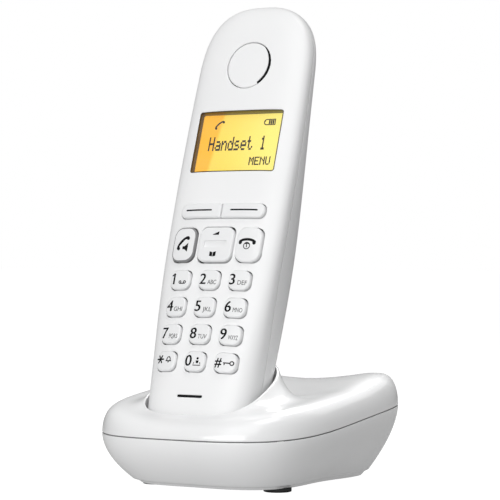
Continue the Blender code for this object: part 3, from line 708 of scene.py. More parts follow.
# ------------------------------------------------------------------ the handset's form
@dataclass(frozen=True)
class HandsetForm:
    """The handset's outer form, as sections along its length."""

    length: float = 154.0
    widest: float = 22.4
    widest_at: float = 92.0
    side_taper: float = 0.00045
    top_arch: float = 25.0
    bottom_arch: float = 14.0
    palm_depth: float = 27.0
    palm_at: float = 52.0
    head_depth: float = 13.0
    front_power: float = 3.2
    rear_power: float = 2.5
    lean: float = math.radians(18.6)
    foot_of_face: tuple[float, float, float] = (0.0, -41.2, 16.6)
    window_at: float = 103.9
    window_size: tuple[float, float] = (32.2, 21.3)
    cell_bottom: float = 41.0
    cell_length: float = 44.0

    @property
    def leaning(self) -> Matrix:
        """From the handset's frame to the world's, both in millimetres."""
        return Matrix.Translation(self.foot_of_face) @ Matrix.Rotation(-self.lean, 4, "X")

    @property
    def matrix(self) -> Matrix:
        """From the handset's frame in millimetres to the world in metres."""
        return Matrix.Scale(MM, 4) @ self.leaning

    def seam(self, height: float) -> float:
        """Depth of the seam between the shells."""
        if height < 65:
            return 6.8 + 4.6 * soft((65 - height) / 58)
        return 6.8 - 0.8 * (height - 65) / 60

    def full(self, height: float) -> float:
        """Depth of the back, without the rounded ends."""
        if height < self.palm_at:
            return self.palm_depth - 3.5 * ((self.palm_at - height) / self.palm_at) ** 1.6
        return self.palm_depth - (self.palm_depth - self.head_depth) * soft((height - self.palm_at) / 92)

    def half_width(self, height: float) -> float:
        """Half the width at the seam, without the rounded ends."""
        return self.widest - self.side_taper * (height - self.widest_at) ** 2

    def ends(self, height: float, arch_power: float, bottom_power: float) -> float:
        """The factor that closes the form at both ends."""
        top = rounded_end((height - (self.length - self.top_arch)) / self.top_arch, arch_power)
        return top * rounded_end((self.bottom_arch - height) / self.bottom_arch, bottom_power)

    def section(self, height: float, angle: float, grow: float = 0.0, closed: bool = True) -> Vector:
        """Return a point of a cross-section.

        Args:
            height: where the section is.
            angle: 0 to pi round the front half, pi to 2 pi round the rear.
            grow: how far outside the form.
            closed: whether the form closes at its ends.

        Returns:
            The point in the handset's frame.
        """
        inside = min(max(height, 0.0), self.length)
        width, seam = self.half_width(inside), self.seam(inside)
        front, rear = seam, self.full(inside) - seam
        if closed:
            width *= self.ends(inside, 2.8, 4.0)
            front *= self.ends(inside, 4.5, 4.0)
            rear *= self.ends(inside, 3.0, 3.0)
        sine = math.sin(angle)
        exponent = 2 / (self.front_power if sine >= 0 else self.rear_power)
        reach = (front if sine >= 0 else rear) + grow
        return Vector(((width + grow) * signed_power(math.cos(angle), exponent),
                       seam - reach * signed_power(sine, exponent), height))

    def stations(self, spacing: float = 1.6) -> list[float]:
        """Heights at which the form is drawn, closer together at its ends."""
        low = [self.bottom_arch * (1 - math.sin(math.radians(a)) ** 0.5) for a in range(90, 0, -5)]
        high = [self.length - self.top_arch + self.top_arch * math.sin(math.radians(a)) ** (2 / 2.8)
                for a in range(3, 90, 3)]
        first, last = low[-1], high[0]
        middle = spaced(first, last, round((last - first) / spacing))[1:-1]
        return sorted(set([0.0] + low + middle + high + [self.length]))

    def face(self, x: float, height: float) -> float:
        """Depth of the front face at a place on it, with its rounded ends."""
        inside = min(max(height, 0.05), self.length - 0.05)
        width = self.half_width(inside) * self.ends(inside, 2.8, 4.0)
        reach = self.seam(inside) * self.ends(inside, 4.5, 4.0)
        flat = max(1 - min(abs(x) / width, 1.0) ** self.front_power, 0.0) ** (1 / self.front_power)
        return self.seam(inside) - reach * flat

    def back(self, x: float, height: float) -> float:
        """Depth of the back at a place on it."""
        width = self.half_width(height) * self.ends(height, 2.8, 4.0)
        reach = (self.full(height) - self.seam(height)) * self.ends(height, 3.0, 3.0)
        flat = max(1 - min(abs(x) / width, 1.0) ** self.rear_power, 0.0) ** (1 / self.rear_power)
        return self.seam(height) + reach * flat

    def half(self, front: bool, count: int = 110, shift: float = 0.0) -> bmesh.types.BMesh:
        """Return the open dome of one half, moved back by shift."""
        reach = 6.8 if front else 18.0
        angles = even_angles(self.widest, reach, self.front_power if front else self.rear_power, count)
        if not front:
            angles = [math.pi + a for a in angles]
        rows = [[self.section(h, a) + Vector((0, shift, 0)) for a in angles]
                for h in self.stations()]
        return faced(skin(rows, ring=False),
                     Vector((0, -FAR if front else FAR, self.length / 2)))


@dataclass
class Opening:
    """A hole in the handset's face with a rounded lip that follows the face."""

    form: HandsetForm
    x: float
    height: float
    width: float
    length: float
    corner: float
    lip: float = 0.3
    over: float = 0.1
    reach: tuple[float, float] = (-4.0, 9.0)

    def ring(self, grow: float, drop: float) -> list[Vector]:
        """Return the outline grown by grow, at drop below the face."""
        outline = rounded_rectangle(self.width + 2 * grow, self.length + 2 * grow, self.corner + grow,
                                    8, 10)
        return [Vector((self.x + px, self.form.face(self.x + px, self.height + pz) + drop,
                        self.height + pz)) for px, pz in outline]

    def cutter(self) -> bmesh.types.BMesh:
        """Return the solid that makes the hole."""
        start = math.radians(28)
        first = (self.lip * (1 - math.sin(start)), self.lip * (1 - math.cos(start)))
        flare = self.ring(first[0] + self.over * 1.6, first[1] - self.over)
        rows = [[Vector((p.x, self.reach[0], p.z)) for p in flare], flare]
        for angle in (start, math.radians(48), math.radians(68), math.radians(90)):
            rows.append(self.ring(self.lip * (1 - math.sin(angle)), self.lip * (1 - math.cos(angle))))
        rows.append([Vector((p.x, self.reach[1], p.z)) for p in self.ring(0.0, 0.0)])
        return skin(rows, first_cap=True, last_cap=True)


# ------------------------------------------------------------------ legends
class Stamp:
    """Flat printed shapes: letters, strokes, discs and rings, as outlines in millimetres."""

    def __init__(self) -> None:
        """Start with nothing printed."""
        self.shapes: list[Flat] = []

    def stroke(self, points: Flat, width: float, taper: float = 1.0) -> "Stamp":
        """Add a line with round ends; taper is its width at the far end against the near one."""
        left, right = [], []
        for i, (x, y) in enumerate(points):
            ax, ay = points[max(i - 1, 0)]
            bx, by = points[min(i + 1, len(points) - 1)]
            span = math.dist((ax, ay), (bx, by))
            half = width / 2 * (1 + (taper - 1) * i / (len(points) - 1))
            nx, ny = -(by - ay) / span * half, (bx - ax) / span * half
            left.append((x + nx, y + ny))
            right.append((x - nx, y - ny))
        self.shapes.append(left + right[::-1])
        for (x, y), share in ((points[0], 1.0), (points[-1], taper)):
            self.disc(x, y, width / 2 * share, 10)
        return self

    def disc(self, x: float, y: float, radius: float, sides: int = 20) -> "Stamp":
        """Add a filled circle."""
        self.shapes.append([(x + radius * math.cos(2 * math.pi * i / sides),
                             y + radius * math.sin(2 * math.pi * i / sides)) for i in range(sides)])
        return self

    def arc(self, x: float, y: float, radius: float, start: float, stop: float, width: float,
            steps: int = 14) -> "Stamp":
        """Add a curved line between two angles in degrees."""
        return self.stroke([(x + radius * math.cos(math.radians(a)), y + radius * math.sin(math.radians(a)))
                            for a in spaced(start, stop, steps)], width)

    def area(self, *points: tuple[float, float]) -> "Stamp":
        """Add a filled outline."""
        self.shapes.append(list(points))
        return self

    def slabs(self, drape: Callable[[float, float], float], thick: float, longest: float = 0.8
              ) -> bmesh.types.BMesh:
        """Return the shapes as thin slabs laid on a surface.

        Args:
            drape: depth of the surface at a place.
            thick: how far the ink stands proud.
            longest: longest side of an outline.

        Returns:
            Closed slabs.
        """
        whole = bmesh.new()
        for outline in self.shapes:
            area = sum(ax * by - bx * ay for (ax, ay), (bx, by)
                       in zip(outline, outline[1:] + outline[:1]))
            points = subdivided(outline if area > 0 else outline[::-1], longest)
            top = [whole.verts.new((x, drape(x, y) - thick, y)) for x, y in points]
            low = [whole.verts.new((x, drape(x, y) + thick, y)) for x, y in points]
            whole.faces.new(top)
            whole.faces.new(low[::-1])
            for i in range(len(top)):
                j = (i + 1) % len(top)
                whole.faces.new((top[j], top[i], low[i], low[j]))
        bmesh.ops.triangulate(whole, faces=[f for f in whole.faces if len(f.verts) > 4])
        return whole


def lettering(words: str, height: float, x: float, y: float, shear: float = 0.0, weight: float = 0.0,
              narrow: float = 1.0) -> tuple[bmesh.types.BMesh, float]:
    """Return words as flat slabs in the x-y plane.

    Args:
        words: what is written.
        height: height of a capital.
        x: left edge.
        y: baseline.
        shear: slant of the letters.
        weight: how much bolder than the plain face.
        narrow: width against the plain face.

    Returns:
        The slabs, from z 0 to 1, and the width that they take up.
    """
    curve = bpy.data.curves.new("words", "FONT")
    curve.body, curve.size = words, height / FONT_CAP_HEIGHT
    curve.shear, curve.offset, curve.extrude, curve.resolution_u = shear, weight, 0.5, 4
    item = bpy.data.objects.new("words", curve)
    bpy.context.scene.collection.objects.link(item)
    mesh = evaluated(item, "words")
    bpy.data.curves.remove(curve)
    shape = bmesh.new()
    shape.from_mesh(mesh)
    bpy.data.meshes.remove(mesh)
    bmesh.ops.remove_doubles(shape, verts=shape.verts, dist=1e-5)
    left = min(v.co.x for v in shape.verts)
    right = max(v.co.x for v in shape.verts)
    for vert in shape.verts:
        vert.co = Vector((x + (vert.co.x - left) * narrow, y + vert.co.y, vert.co.z + 0.5))
    return shape, (right - left) * narrow


def laid(shape: bmesh.types.BMesh, drape: Callable[[float, float], float], thick: float
         ) -> bmesh.types.BMesh:
    """Lay slabs of the x-y plane on a surface of the handset: y becomes height."""
    for vert in shape.verts:
        x, height, level = vert.co
        vert.co = Vector((x, drape(x, height) - thick * (2 * level - 1), height))
    bmesh.ops.recalc_face_normals(shape, faces=shape.faces)
    return shape


# ------------------------------------------------------------------ the handset
class KeyKind(Enum):
    """How a key is shaped."""

    NUMBER = "number"
    CALL = "call"
    ROCKER = "rocker"
    SOFT = "soft"


@dataclass(frozen=True)
class Key:
    """One key of the handset."""

    name: str
    kind: KeyKind
    x: float
    height: float
    width: float
    length: float
    corner: float
    words: str = ""


@dataclass
class Keypad(Assembly):
    """The keys, their printed legends and the openings that they stand in."""

    finishes: Finishes
    form: HandsetForm
    column_pitch: float = 11.4
    row_pitch: float = 9.3
    lowest_row: float = 26.7
    number_size: tuple[float, float, float] = (8.0, 6.7, 2.7)
    call_size: tuple[float, float, float] = (9.2, 12.0, 3.4)
    rocker_size: tuple[float, float, float] = (13.2, 12.0, 3.0)
    rocker_recess: tuple[float, float, float] = (8.6, 2.3, 0.42)
    action_row: float = 66.9
    call_x: float = 12.5
    soft_row: float = 78.8
    soft_half_span: float = 16.3
    soft_length: float = 5.0
    gap: float = 0.3
    shown_gap: float = 0.15
    rocking_gap: float = 0.42
    proud: float = 0.95
    roll: float = 0.6
    crown: float = 0.1
    foot: float = 3.3
    ink: float = 0.035
    hash_slant: float = 0.012
    hash_height: float = 3.2
    digit_inset: float = 3.5
    digit_height: float = 3.8
    letter_height: float = 1.55
    letters_width: float = 3.3
    baseline: float = 1.6
    bolder: float = 0.2
    lip: float = 0.22
    rows: tuple[tuple[tuple[str, str], ...], ...] = field(default=(
        (("star", ""), ("0", ""), ("hash", "")), (("7", "PQRS"), ("8", "TUV"), ("9", "WXYZ")),
        (("4", "GHI"), ("5", "JKL"), ("6", "MNO")), (("1", ""), ("2", "ABC"), ("3", "DEF"))))

    def keys(self) -> list[Key]:
        """Return every key with its place and size."""
        made = [Key("key_" + name, KeyKind.NUMBER, (column - 1) * self.column_pitch,
                    self.lowest_row + row * self.row_pitch, *self.number_size, words)
                for row, trio in enumerate(self.rows) for column, (name, words) in enumerate(trio)]
        for name, side in (("key_talk", -1), ("key_end", 1)):
            made.append(Key(name, KeyKind.CALL, side * self.call_x, self.action_row, *self.call_size))
        made.append(Key("key_navigation", KeyKind.ROCKER, 0.0, self.action_row, *self.rocker_size))
        width = self.soft_half_span - self.gap / 2
        for name, side in (("softkey_left", -1), ("softkey_right", 1)):
            made.append(Key(name, KeyKind.SOFT, side * (width + self.gap) / 2, self.soft_row, width,
                            self.soft_length, 2.4))
        return made

    def openings(self) -> list[Opening]:
        """Return the holes in the front shell; the soft keys share one."""
        made = []
        for key in self.keys():
            if key.kind is KeyKind.SOFT:
                continue
            ends = self.rocking_gap if key.kind is KeyKind.ROCKER else self.shown_gap
            made.append(Opening(self.form, key.x, key.height, key.width + 2 * self.shown_gap,
                                key.length + 2 * ends, key.corner - 0.5, self.lip))
        made.append(Opening(self.form, 0.0, self.soft_row, 2 * (self.soft_half_span + self.shown_gap),
                            self.soft_length + 2 * self.shown_gap, 2.3, self.lip))
        return made

    def outline(self, key: Key, inset: float) -> Flat:
        """Return a key's outline, inset; a soft key is square at the middle of the pair."""
        square = 0 if key.kind is not KeyKind.SOFT else (-1 if key.x > 0 else 1)
        return rounded_rectangle(key.width - 2 * inset, key.length - 2 * inset, key.corner - inset, 7,
                                 8, square)

    def top(self, key: Key, x: float, height: float) -> float:
        """Depth of a key's top at a place in the handset's frame."""
        u = min(abs(x - key.x) / (key.width / 2), 1.0)
        v = min(abs(height - key.height) / (key.length / 2), 1.0)
        return self.form.face(x, height) - self.proud - self.crown * (1 - u * u) * (1 - v * v)

    def cap(self, key: Key) -> bmesh.types.BMesh:
        """Return a keycap: straight sides, a rolled edge and a crowned top."""
        def ring(inset: float, drop: float, level: bool = False) -> list[Vector]:
            """Return the outline on the key's top, lowered by drop, or at a fixed depth."""
            return [Vector((key.x + px, drop if level else
                            self.top(key, key.x + px, key.height + pz) + drop, key.height + pz))
                    for px, pz in self.outline(key, inset)]

        rows = [ring(0.0, self.foot, True), ring(0.0, self.roll)]
        for angle in (15, 30, 45, 60, 75, 90):
            turn = math.radians(angle)
            rows.append(ring(self.roll * (1 - math.cos(turn)), self.roll * (1 - math.sin(turn))))
        rim = self.outline(key, self.roll)
        for share in (0.9, 0.78, 0.64, 0.5, 0.36, 0.22, 0.1):
            rows.append([Vector((key.x + px * share, self.top(key, key.x + px * share,
                                                              key.height + pz * share),
                                 key.height + pz * share)) for px, pz in rim])
        centre = Vector((key.x, self.top(key, key.x, key.height), key.height))
        rows.append([centre] * len(rim))
        cap = skin(rows, first_cap=True)
        if key.kind is not KeyKind.ROCKER:
            return cap
        wide, tall, deep = self.rocker_recess
        return carved("rocker", cap, cutters=box((wide, 4.0, tall),
                                                 (key.x, centre.y + deep - 2.0, key.height + 0.1), 0.25, 3))

    def build(self) -> None:
        """Make every key with its legend, and finish the mat behind them."""
        matrix = self.form.matrix
        for key in self.keys():
            self.piece(key.name + "_cap", self.cap(key), self.finishes.key, key.name, matrix,
                       (key.name,), "key_white", crease=50)
            legend = self.legend(key)
            if legend is not None:
                self.piece(key.name + "_legend", legend, self.finishes.ink, key.name, matrix)
            if key.words:
                shape, wide = lettering(key.words, self.letter_height, 0.0, 0.0)
                shrink = self.letters_width / wide
                for vert in shape.verts:
                    vert.co = (key.x - 0.25 + vert.co.x * shrink, key.height - self.baseline + vert.co.y,
                               vert.co.z)
                self.piece(key.name + "_letters", laid(shape, lambda x, h, k=key: self.top(k, x, h),
                                                       self.ink), self.finishes.pale_ink, key.name, matrix)
        self.piece("key_talk_skirt", self.skirt(), self.finishes.dark_skirt, "key_talk", matrix)
        self.dress(self.finishes.mat, "keypad_mat")

    def skirt(self) -> bmesh.types.BMesh:
        """Return the grey skirt that shows round the talk key."""
        key = next(k for k in self.keys() if k.name == "key_talk")

        def ring(inset: float, drop: float) -> list[Vector]:
            """Return the outline, lowered by drop below the face."""
            return [Vector((key.x + px, self.form.face(key.x + px, key.height + pz) + drop,
                            key.height + pz)) for px, pz in self.outline(key, inset)]

        level, outer, inner = -self.proud, [], []
        for angle in spaced(0, 78, 6):
            turn = math.radians(angle)
            inset, drop = self.roll * (1 - math.cos(turn)), level + self.roll * (1 - math.sin(turn))
            outer.append(ring(inset - 0.05, drop - 0.05))
            inner.append(ring(inset + 0.02, drop + 0.02))
        rows = [ring(-0.05, 2.6)] + outer + inner[::-1] + [ring(0.02, 2.6)]
        return skin(rows + rows[:1])

    def legend(self, key: Key) -> Optional[bmesh.types.BMesh]:
        """Return what is printed on a key, or None."""
        def drape(x: float, height: float) -> float:
            """Return the depth of the key's top."""
            return self.top(key, x, height)

        stamp, shapes = Stamp(), []
        left, base = key.x - self.digit_inset, key.height - self.baseline
        icon_x, icon_y = key.x + 0.55, key.height - 1.25
        word = key.name.removeprefix("key_")
        if word == "1":
            left += 0.7
            stamp.stroke([(left - 0.4, base + 2.95), (left + 0.35, base + 3.6)], 0.42)
        if word.isdigit():
            for shift in (0.0, self.bolder):
                digit, _ = lettering(word, self.digit_height, left + 0.1 + shift, base + shift / 4)
                shapes.append(laid(digit, drape, self.ink * (1 + shift / 4)))
        elif word == "star":
            for angle in (0, 60, 120):
                dx, dy = 1.3 * math.cos(math.radians(angle)), 1.3 * math.sin(math.radians(angle))
                stamp.stroke([(left + 1.3 - dx, key.height + 0.5 - dy),
                              (left + 1.3 + dx, key.height + 0.5 + dy)], 0.5)
            self.bell(stamp, icon_x + 0.7, icon_y + 1.75)
        elif word == "hash":
            digit, _ = lettering("#", self.hash_height, left, base + 0.2, self.hash_slant, 0.08, 0.9)
            shapes.append(laid(digit, drape, self.ink))
            stamp.arc(icon_x + 1.9, icon_y + 1.1, 0.62, 0, 345, 0.36)
            stamp.stroke([(icon_x + 1.2, icon_y + 1.1), (icon_x - 0.9, icon_y + 1.1)], 0.38)
            stamp.stroke([(icon_x - 0.6, icon_y + 1.1), (icon_x - 0.6, icon_y + 0.5)], 0.36)
        if word == "0":
            stamp.stroke([(icon_x - 0.5, icon_y + 0.8), (icon_x - 0.75, icon_y - 0.1),
                          (icon_x + 2.0, icon_y - 0.1), (icon_x + 1.75, icon_y + 0.8)], 0.28)
            stamp.disc(icon_x + 0.7, icon_y + 2.2, 0.42, 12)
            stamp.area((icon_x + 0.15, icon_y + 1.5), (icon_x + 0.3, icon_y + 0.6),
                       (icon_x + 1.1, icon_y + 0.6), (icon_x + 1.25, icon_y + 1.5))
        if word == "1":
            for dx in (-0.3, 1.5):
                stamp.arc(icon_x + dx, icon_y + 0.35, 0.42, 0, 350, 0.32, 10)
            stamp.stroke([(icon_x - 0.3, icon_y - 0.1), (icon_x + 1.5, icon_y - 0.1)], 0.32)
        if word == "talk":
            self.receiver(stamp, key.x - 0.55, key.height + 0.75, 5.7, 46)
            stamp.area((key.x - 0.2, key.height - 0.7), (key.x + 0.6, key.height - 0.7),
                       (key.x + 1.9, key.height + 0.5), (key.x + 1.9, key.height - 2.6),
                       (key.x + 0.6, key.height - 1.7), (key.x - 0.2, key.height - 1.7))
        if word == "end":
            self.receiver(stamp, key.x - 0.4, key.height + 1.2, 5.8, 0)
            stamp.arc(key.x - 0.4, key.height - 0.5, 1.1, 0, 355, 0.26, 24)
            stamp.stroke([(key.x - 0.4, key.height - 0.05), (key.x - 0.4, key.height - 0.95)], 0.3)
        if word == "navigation":
            stamp.area((key.x - 1.5, key.height + 3.2), (key.x - 1.3, key.height + 3.4),
                       (key.x + 0.9, key.height + 4.4), (key.x + 0.9, key.height + 3.2))
            x, y = key.x - 0.3, key.height - 3.5
            for side in (-1, 1):
                stamp.area((x + side * 0.1, y - 0.85), (x + side * 0.1, y + 0.65),
                           (x + side * 1.2, y + 0.95), (x + side * 1.2, y - 0.6))
        if word.startswith("soft"):
            side = -1 if key.x < 0 else 1
            spot = key.x + side * 0.5
            stamp.stroke([(spot - 4.9, key.height + 0.1), (spot + 4.9, key.height + 0.1)], 0.52)
        if stamp.shapes:
            shapes.append(stamp.slabs(drape, self.ink))
        return gathered(shapes) if shapes else None

    @staticmethod
    def receiver(stamp: Stamp, x: float, y: float, span: float, turn: float) -> None:
        """Print a telephone receiver, hollow side down, turned by turn degrees."""
        slope = math.radians(turn)

        def at(px: float, py: float) -> tuple[float, float]:
            """Return a point of the receiver, turned and moved into place."""
            return (x + px * math.cos(slope) - py * math.sin(slope),
                    y + px * math.sin(slope) + py * math.cos(slope))

        half = span / 2
        bow = [at(half * 0.92 * math.sin(math.radians(a)) / math.sin(math.radians(70)),
                  half * 0.42 * (math.cos(math.radians(a)) - 0.6)) for a in spaced(-70, 70, 16)]
        stamp.stroke(bow, span * 0.15)
        for side in (-1, 1):
            stamp.stroke([at(side * half * 0.84, -0.04 * span), at(side * half * 0.86, -0.12 * span)],
                         span * 0.2)

    @staticmethod
    def bell(stamp: Stamp, x: float, y: float) -> None:
        """Print a small bell."""
        sides = [(0.95, -0.55), (0.68, -0.25), (0.62, 0.3), (0.38, 0.7), (0.0, 0.82)]
        right, left = [(x + dx, y + dy) for dx, dy in sides], [(x - dx, y + dy) for dx, dy in sides]
        stamp.stroke(right + left[-2::-1], 0.34)
        stamp.stroke([left[0], right[0]], 0.3)
        stamp.disc(x, y - 0.92, 0.26, 10)


@dataclass
class Display(Assembly):
    """The window, the dark brown walls of its recess, which are painted shade, the lit panel and what it
    shows.
    """

    finishes: Finishes
    form: HandsetForm
    repeated: Repeated
    panel_depth: float = 3.25
    glass_depth: float = 1.35
    wall: float = 0.3
    font: dict[str, tuple[int, ...]] = field(default_factory=lambda: {
        "H": (17, 17, 17, 31, 17, 17, 17), "a": (0, 0, 14, 1, 15, 17, 15), "n": (0, 0, 22, 25, 17, 17, 17),
        "d": (1, 1, 13, 19, 17, 17, 15), "s": (0, 0, 14, 16, 14, 1, 30), "e": (0, 0, 14, 17, 31, 16, 14),
        "t": (8, 8, 28, 8, 8, 9, 6), "1": (4, 12, 4, 4, 4, 4, 14), " ": (0,) * 7,
        "M": (17, 27, 21, 21, 17, 17, 17), "E": (31, 16, 16, 30, 16, 16, 31),
        "N": (17, 25, 21, 19, 17, 17, 17), "U": (17, 17, 17, 17, 17, 17, 14)})

    def opening(self) -> Opening:
        """Return the hole for the window."""
        width, length = self.form.window_size
        return Opening(self.form, 0.0, self.form.window_at, width + 0.6, length + 0.6, 0.9, 0.25)

    def frame_rows(self, inset: float, *depths: float) -> list[list[Vector]]:
        """Return rings of the opening's outline at depths; a depth under 1 lies below the face, a larger
        one is a fixed depth.
        """
        width, length = self.form.window_size
        outline = rounded_rectangle(width + 0.6 - 2 * inset, length + 0.6 - 2 * inset,
                                    max(0.9 - inset, 0.2), 5, 16)
        return [[Vector((x, self.form.face(x, z + self.form.window_at) + d if d < 1 else d,
                         z + self.form.window_at)) for x, z in outline] for d in depths]

    def build(self) -> None:
        """Make the recess walls, dark brown with painted shade, the panel, its dots and the window."""
        matrix, width, length = self.form.matrix, *self.form.window_size
        # The recess walls are coloured dark brown: painted shade.
        outer = self.frame_rows(0.0, 3.2, 0.2)
        inner = self.frame_rows(self.wall, 0.16, 3.2)
        rows = outer + inner
        self.piece("window_liner", skin(rows + rows[:1]), self.finishes.recess_shade, "handset", matrix)
        middle = self.form.window_at
        panel = box((width + 2.4, 1.5, length + 2.4), (0, self.panel_depth + 0.75, middle), 0.15)
        self.piece("lit_panel", panel, self.finishes.panel, "handset", matrix, ("display_panel",),
                   "display_amber")
        window = box((width - 0.1, 0.4, length - 0.1), (0, self.glass_depth + 0.2, middle), 0.08)
        self.piece("clear_window", window, self.finishes.clear, "handset", matrix, ("display_window",),
                   "display_window")
        dots = gathered([
            self.dots("Handset 1", (-12.1, middle - 1.9), (0.422, 0.71)),
            self.dots("MENU", (4.9, middle - 7.5), (0.355, 0.42))])
        self.piece("crystal_dots", dots, self.finishes.liquid, "handset", matrix)
        self.piece("crystal_icons", self.icons(), self.finishes.liquid, "handset", matrix)
        self.dress(self.finishes.black, "backlight_tray")

    def dots(self, words: str, start: tuple[float, float], pitch: tuple[float, float]
             ) -> bmesh.types.BMesh:
        """Return words as squares of liquid crystal, one for each lit cell.

        Args:
            words: what is written.
            start: left edge and baseline.
            pitch: distance between cells across and along.

        Returns:
            The lit cells.
        """
        points = []
        for place, letter in enumerate(words):
            for row, bits in enumerate(self.font[letter]):
                points += [(start[0] + (place * 6 + column) * pitch[0], self.panel_depth,
                            start[1] + (6 - row) * pitch[1])
                           for column in range(5) if bits >> (4 - column) & 1]
        cell = box((pitch[0] * 1.22, 0.06, pitch[1] * 1.04))
        return self.repeated.spread(points, cell, self.finishes.liquid)

    def icons(self) -> bmesh.types.BMesh:
        """Return the receiver and battery signs at the top of the panel."""
        stamp, top = Stamp(), self.form.window_at + 7.6
        Keypad.receiver(stamp, -9.5, top - 0.3, 4.0, 40)
        x, y = 10.6, top
        stamp.arc(x - 1.5, y, 0.95, 90, 270, 0.34, 10)
        for dy in (-0.95, 0.95):
            stamp.stroke([(x - 1.5, y + dy), (x + 1.6, y + dy)], 0.34)
        for dx in (-0.4, 0.35, 1.1):
            stamp.area((x + dx - 0.3, y - 0.7), (x + dx + 0.3, y - 0.7), (x + dx + 0.3, y + 0.7),
                       (x + dx - 0.3, y + 0.7))
        stamp.area((x + 1.6, y - 1.1), (x + 1.95, y - 1.1), (x + 1.95, y + 1.1), (x + 1.6, y + 1.1))
        return stamp.slabs(lambda px, pz: self.panel_depth, 0.03)


@dataclass
class Head(Assembly):
    """The earpiece with its sound slit, and the microphone at the other end."""

    finishes: Finishes
    form: HandsetForm
    ear_at: float = 131.3
    ear_radius: float = 8.2
    gap: float = 0.3
    slit: float = 0.8
    slit_from: float = math.radians(-56)
    slit_to: float = math.radians(50)
    mouth_at: float = 15.2
    mouth: tuple[float, float] = (9.5, 0.9)

    def openings(self) -> list[Opening]:
        """Return the holes for the earpiece and the microphone."""
        round_hole = 2 * (self.ear_radius + self.gap)
        return [Opening(self.form, 0.0, self.ear_at, round_hole, round_hole, self.ear_radius + self.gap,
                        0.25),
                Opening(self.form, 0.0, self.mouth_at, *self.mouth, 0.4, 0.1)]

    def crescent(self, grow: float = 0.6, depths: tuple[float, float] = (-3.0, 4.0)
                 ) -> bmesh.types.BMesh:
        """Return the solid of the sound slit: widest below its middle, thin at its top end.

        Args:
            grow: how far it reaches outside the earpiece.
            depths: where it starts and ends.

        Returns:
            The solid.
        """
        outer, inner = [], []
        for share in spaced(0.0, 1.0, 30):
            angle = self.slit_from + (self.slit_to - self.slit_from) * share
            width = self.slit * (0.78 + 0.9 * share - 1.62 * share ** 2.2)
            for radius, row in ((self.ear_radius + grow, outer),
                                (self.ear_radius - max(width, 0.05), inner)):
                row.append((radius * math.cos(angle), radius * math.sin(angle)))
        flat = outer + inner[::-1]
        return skin([[Vector((x, depth, self.ear_at + z)) for x, z in flat] for depth in depths],
                    first_cap=True, last_cap=True)

    def build(self) -> None:
        """Make the earpiece cap, what lies behind its slit, and the microphone's slot."""
        matrix = self.form.matrix
        radii = [0.0, 1.6, 3.2, 4.8, 6.0, 7.0, 7.6]
        roll, count = 0.35, 96
        rings = [(r, 0.0) for r in radii]
        rings += [(self.ear_radius - roll + roll * math.sin(math.radians(a)),
                   roll * (1 - math.cos(math.radians(a)))) for a in (0, 25, 50, 75, 90)]

        def ring(radius: float, drop: float, level: Optional[float] = None) -> list[Vector]:
            """Return a circle on the face, or at a fixed depth."""
            made = []
            for i in range(count):
                x = radius * math.cos(2 * math.pi * i / count)
                z = self.ear_at + radius * math.sin(2 * math.pi * i / count)
                made.append(Vector((x, self.form.face(x, z) + 0.06 + drop if level is None else level, z)))
            return made

        rows = [ring(r, d) for r, d in rings] + [ring(self.ear_radius, 0, 1.9), ring(0, 0, 1.9)]
        cap = carved("earpiece", skin(rows), cutters=self.crescent())
        self.piece("earpiece_disc", cap, self.finishes.shell, "handset", matrix, ("earpiece_cap",),
                   "shell_white")
        self.dress(self.finishes.black, "earpiece_receiver", "handsfree_speaker", "microphone_boot")
        self.dress(self.finishes.steel, "microphone")
        # A black crescent fills the sound slit from just below the face.
        slit_fill = self.crescent(0.22, (0.3, 1.6))
        self.piece("sound_slit_felt", slit_fill, self.finishes.ink, "handset", matrix)
        cloth = turned(((0.0, -2.25), (8.3, -2.25), (8.3, -2.0), (0.0, -2.0)))
        cloth = moved(cloth, Matrix.Translation((0, 0, self.ear_at))
                      @ Matrix.Rotation(math.radians(90), 4, "X"))
        self.piece("earpiece_cloth", cloth, self.finishes.black, "handset", matrix)
        width, length = self.mouth
        # A black block fills the microphone's slot just below the face.
        slot_fill = box((width - 0.1, 1.0, length - 0.06),
                   (0, self.form.face(0, self.mouth_at) + 0.6, self.mouth_at), 0.08)
        self.piece("microphone_foam", slot_fill, self.finishes.ink, "handset", matrix)


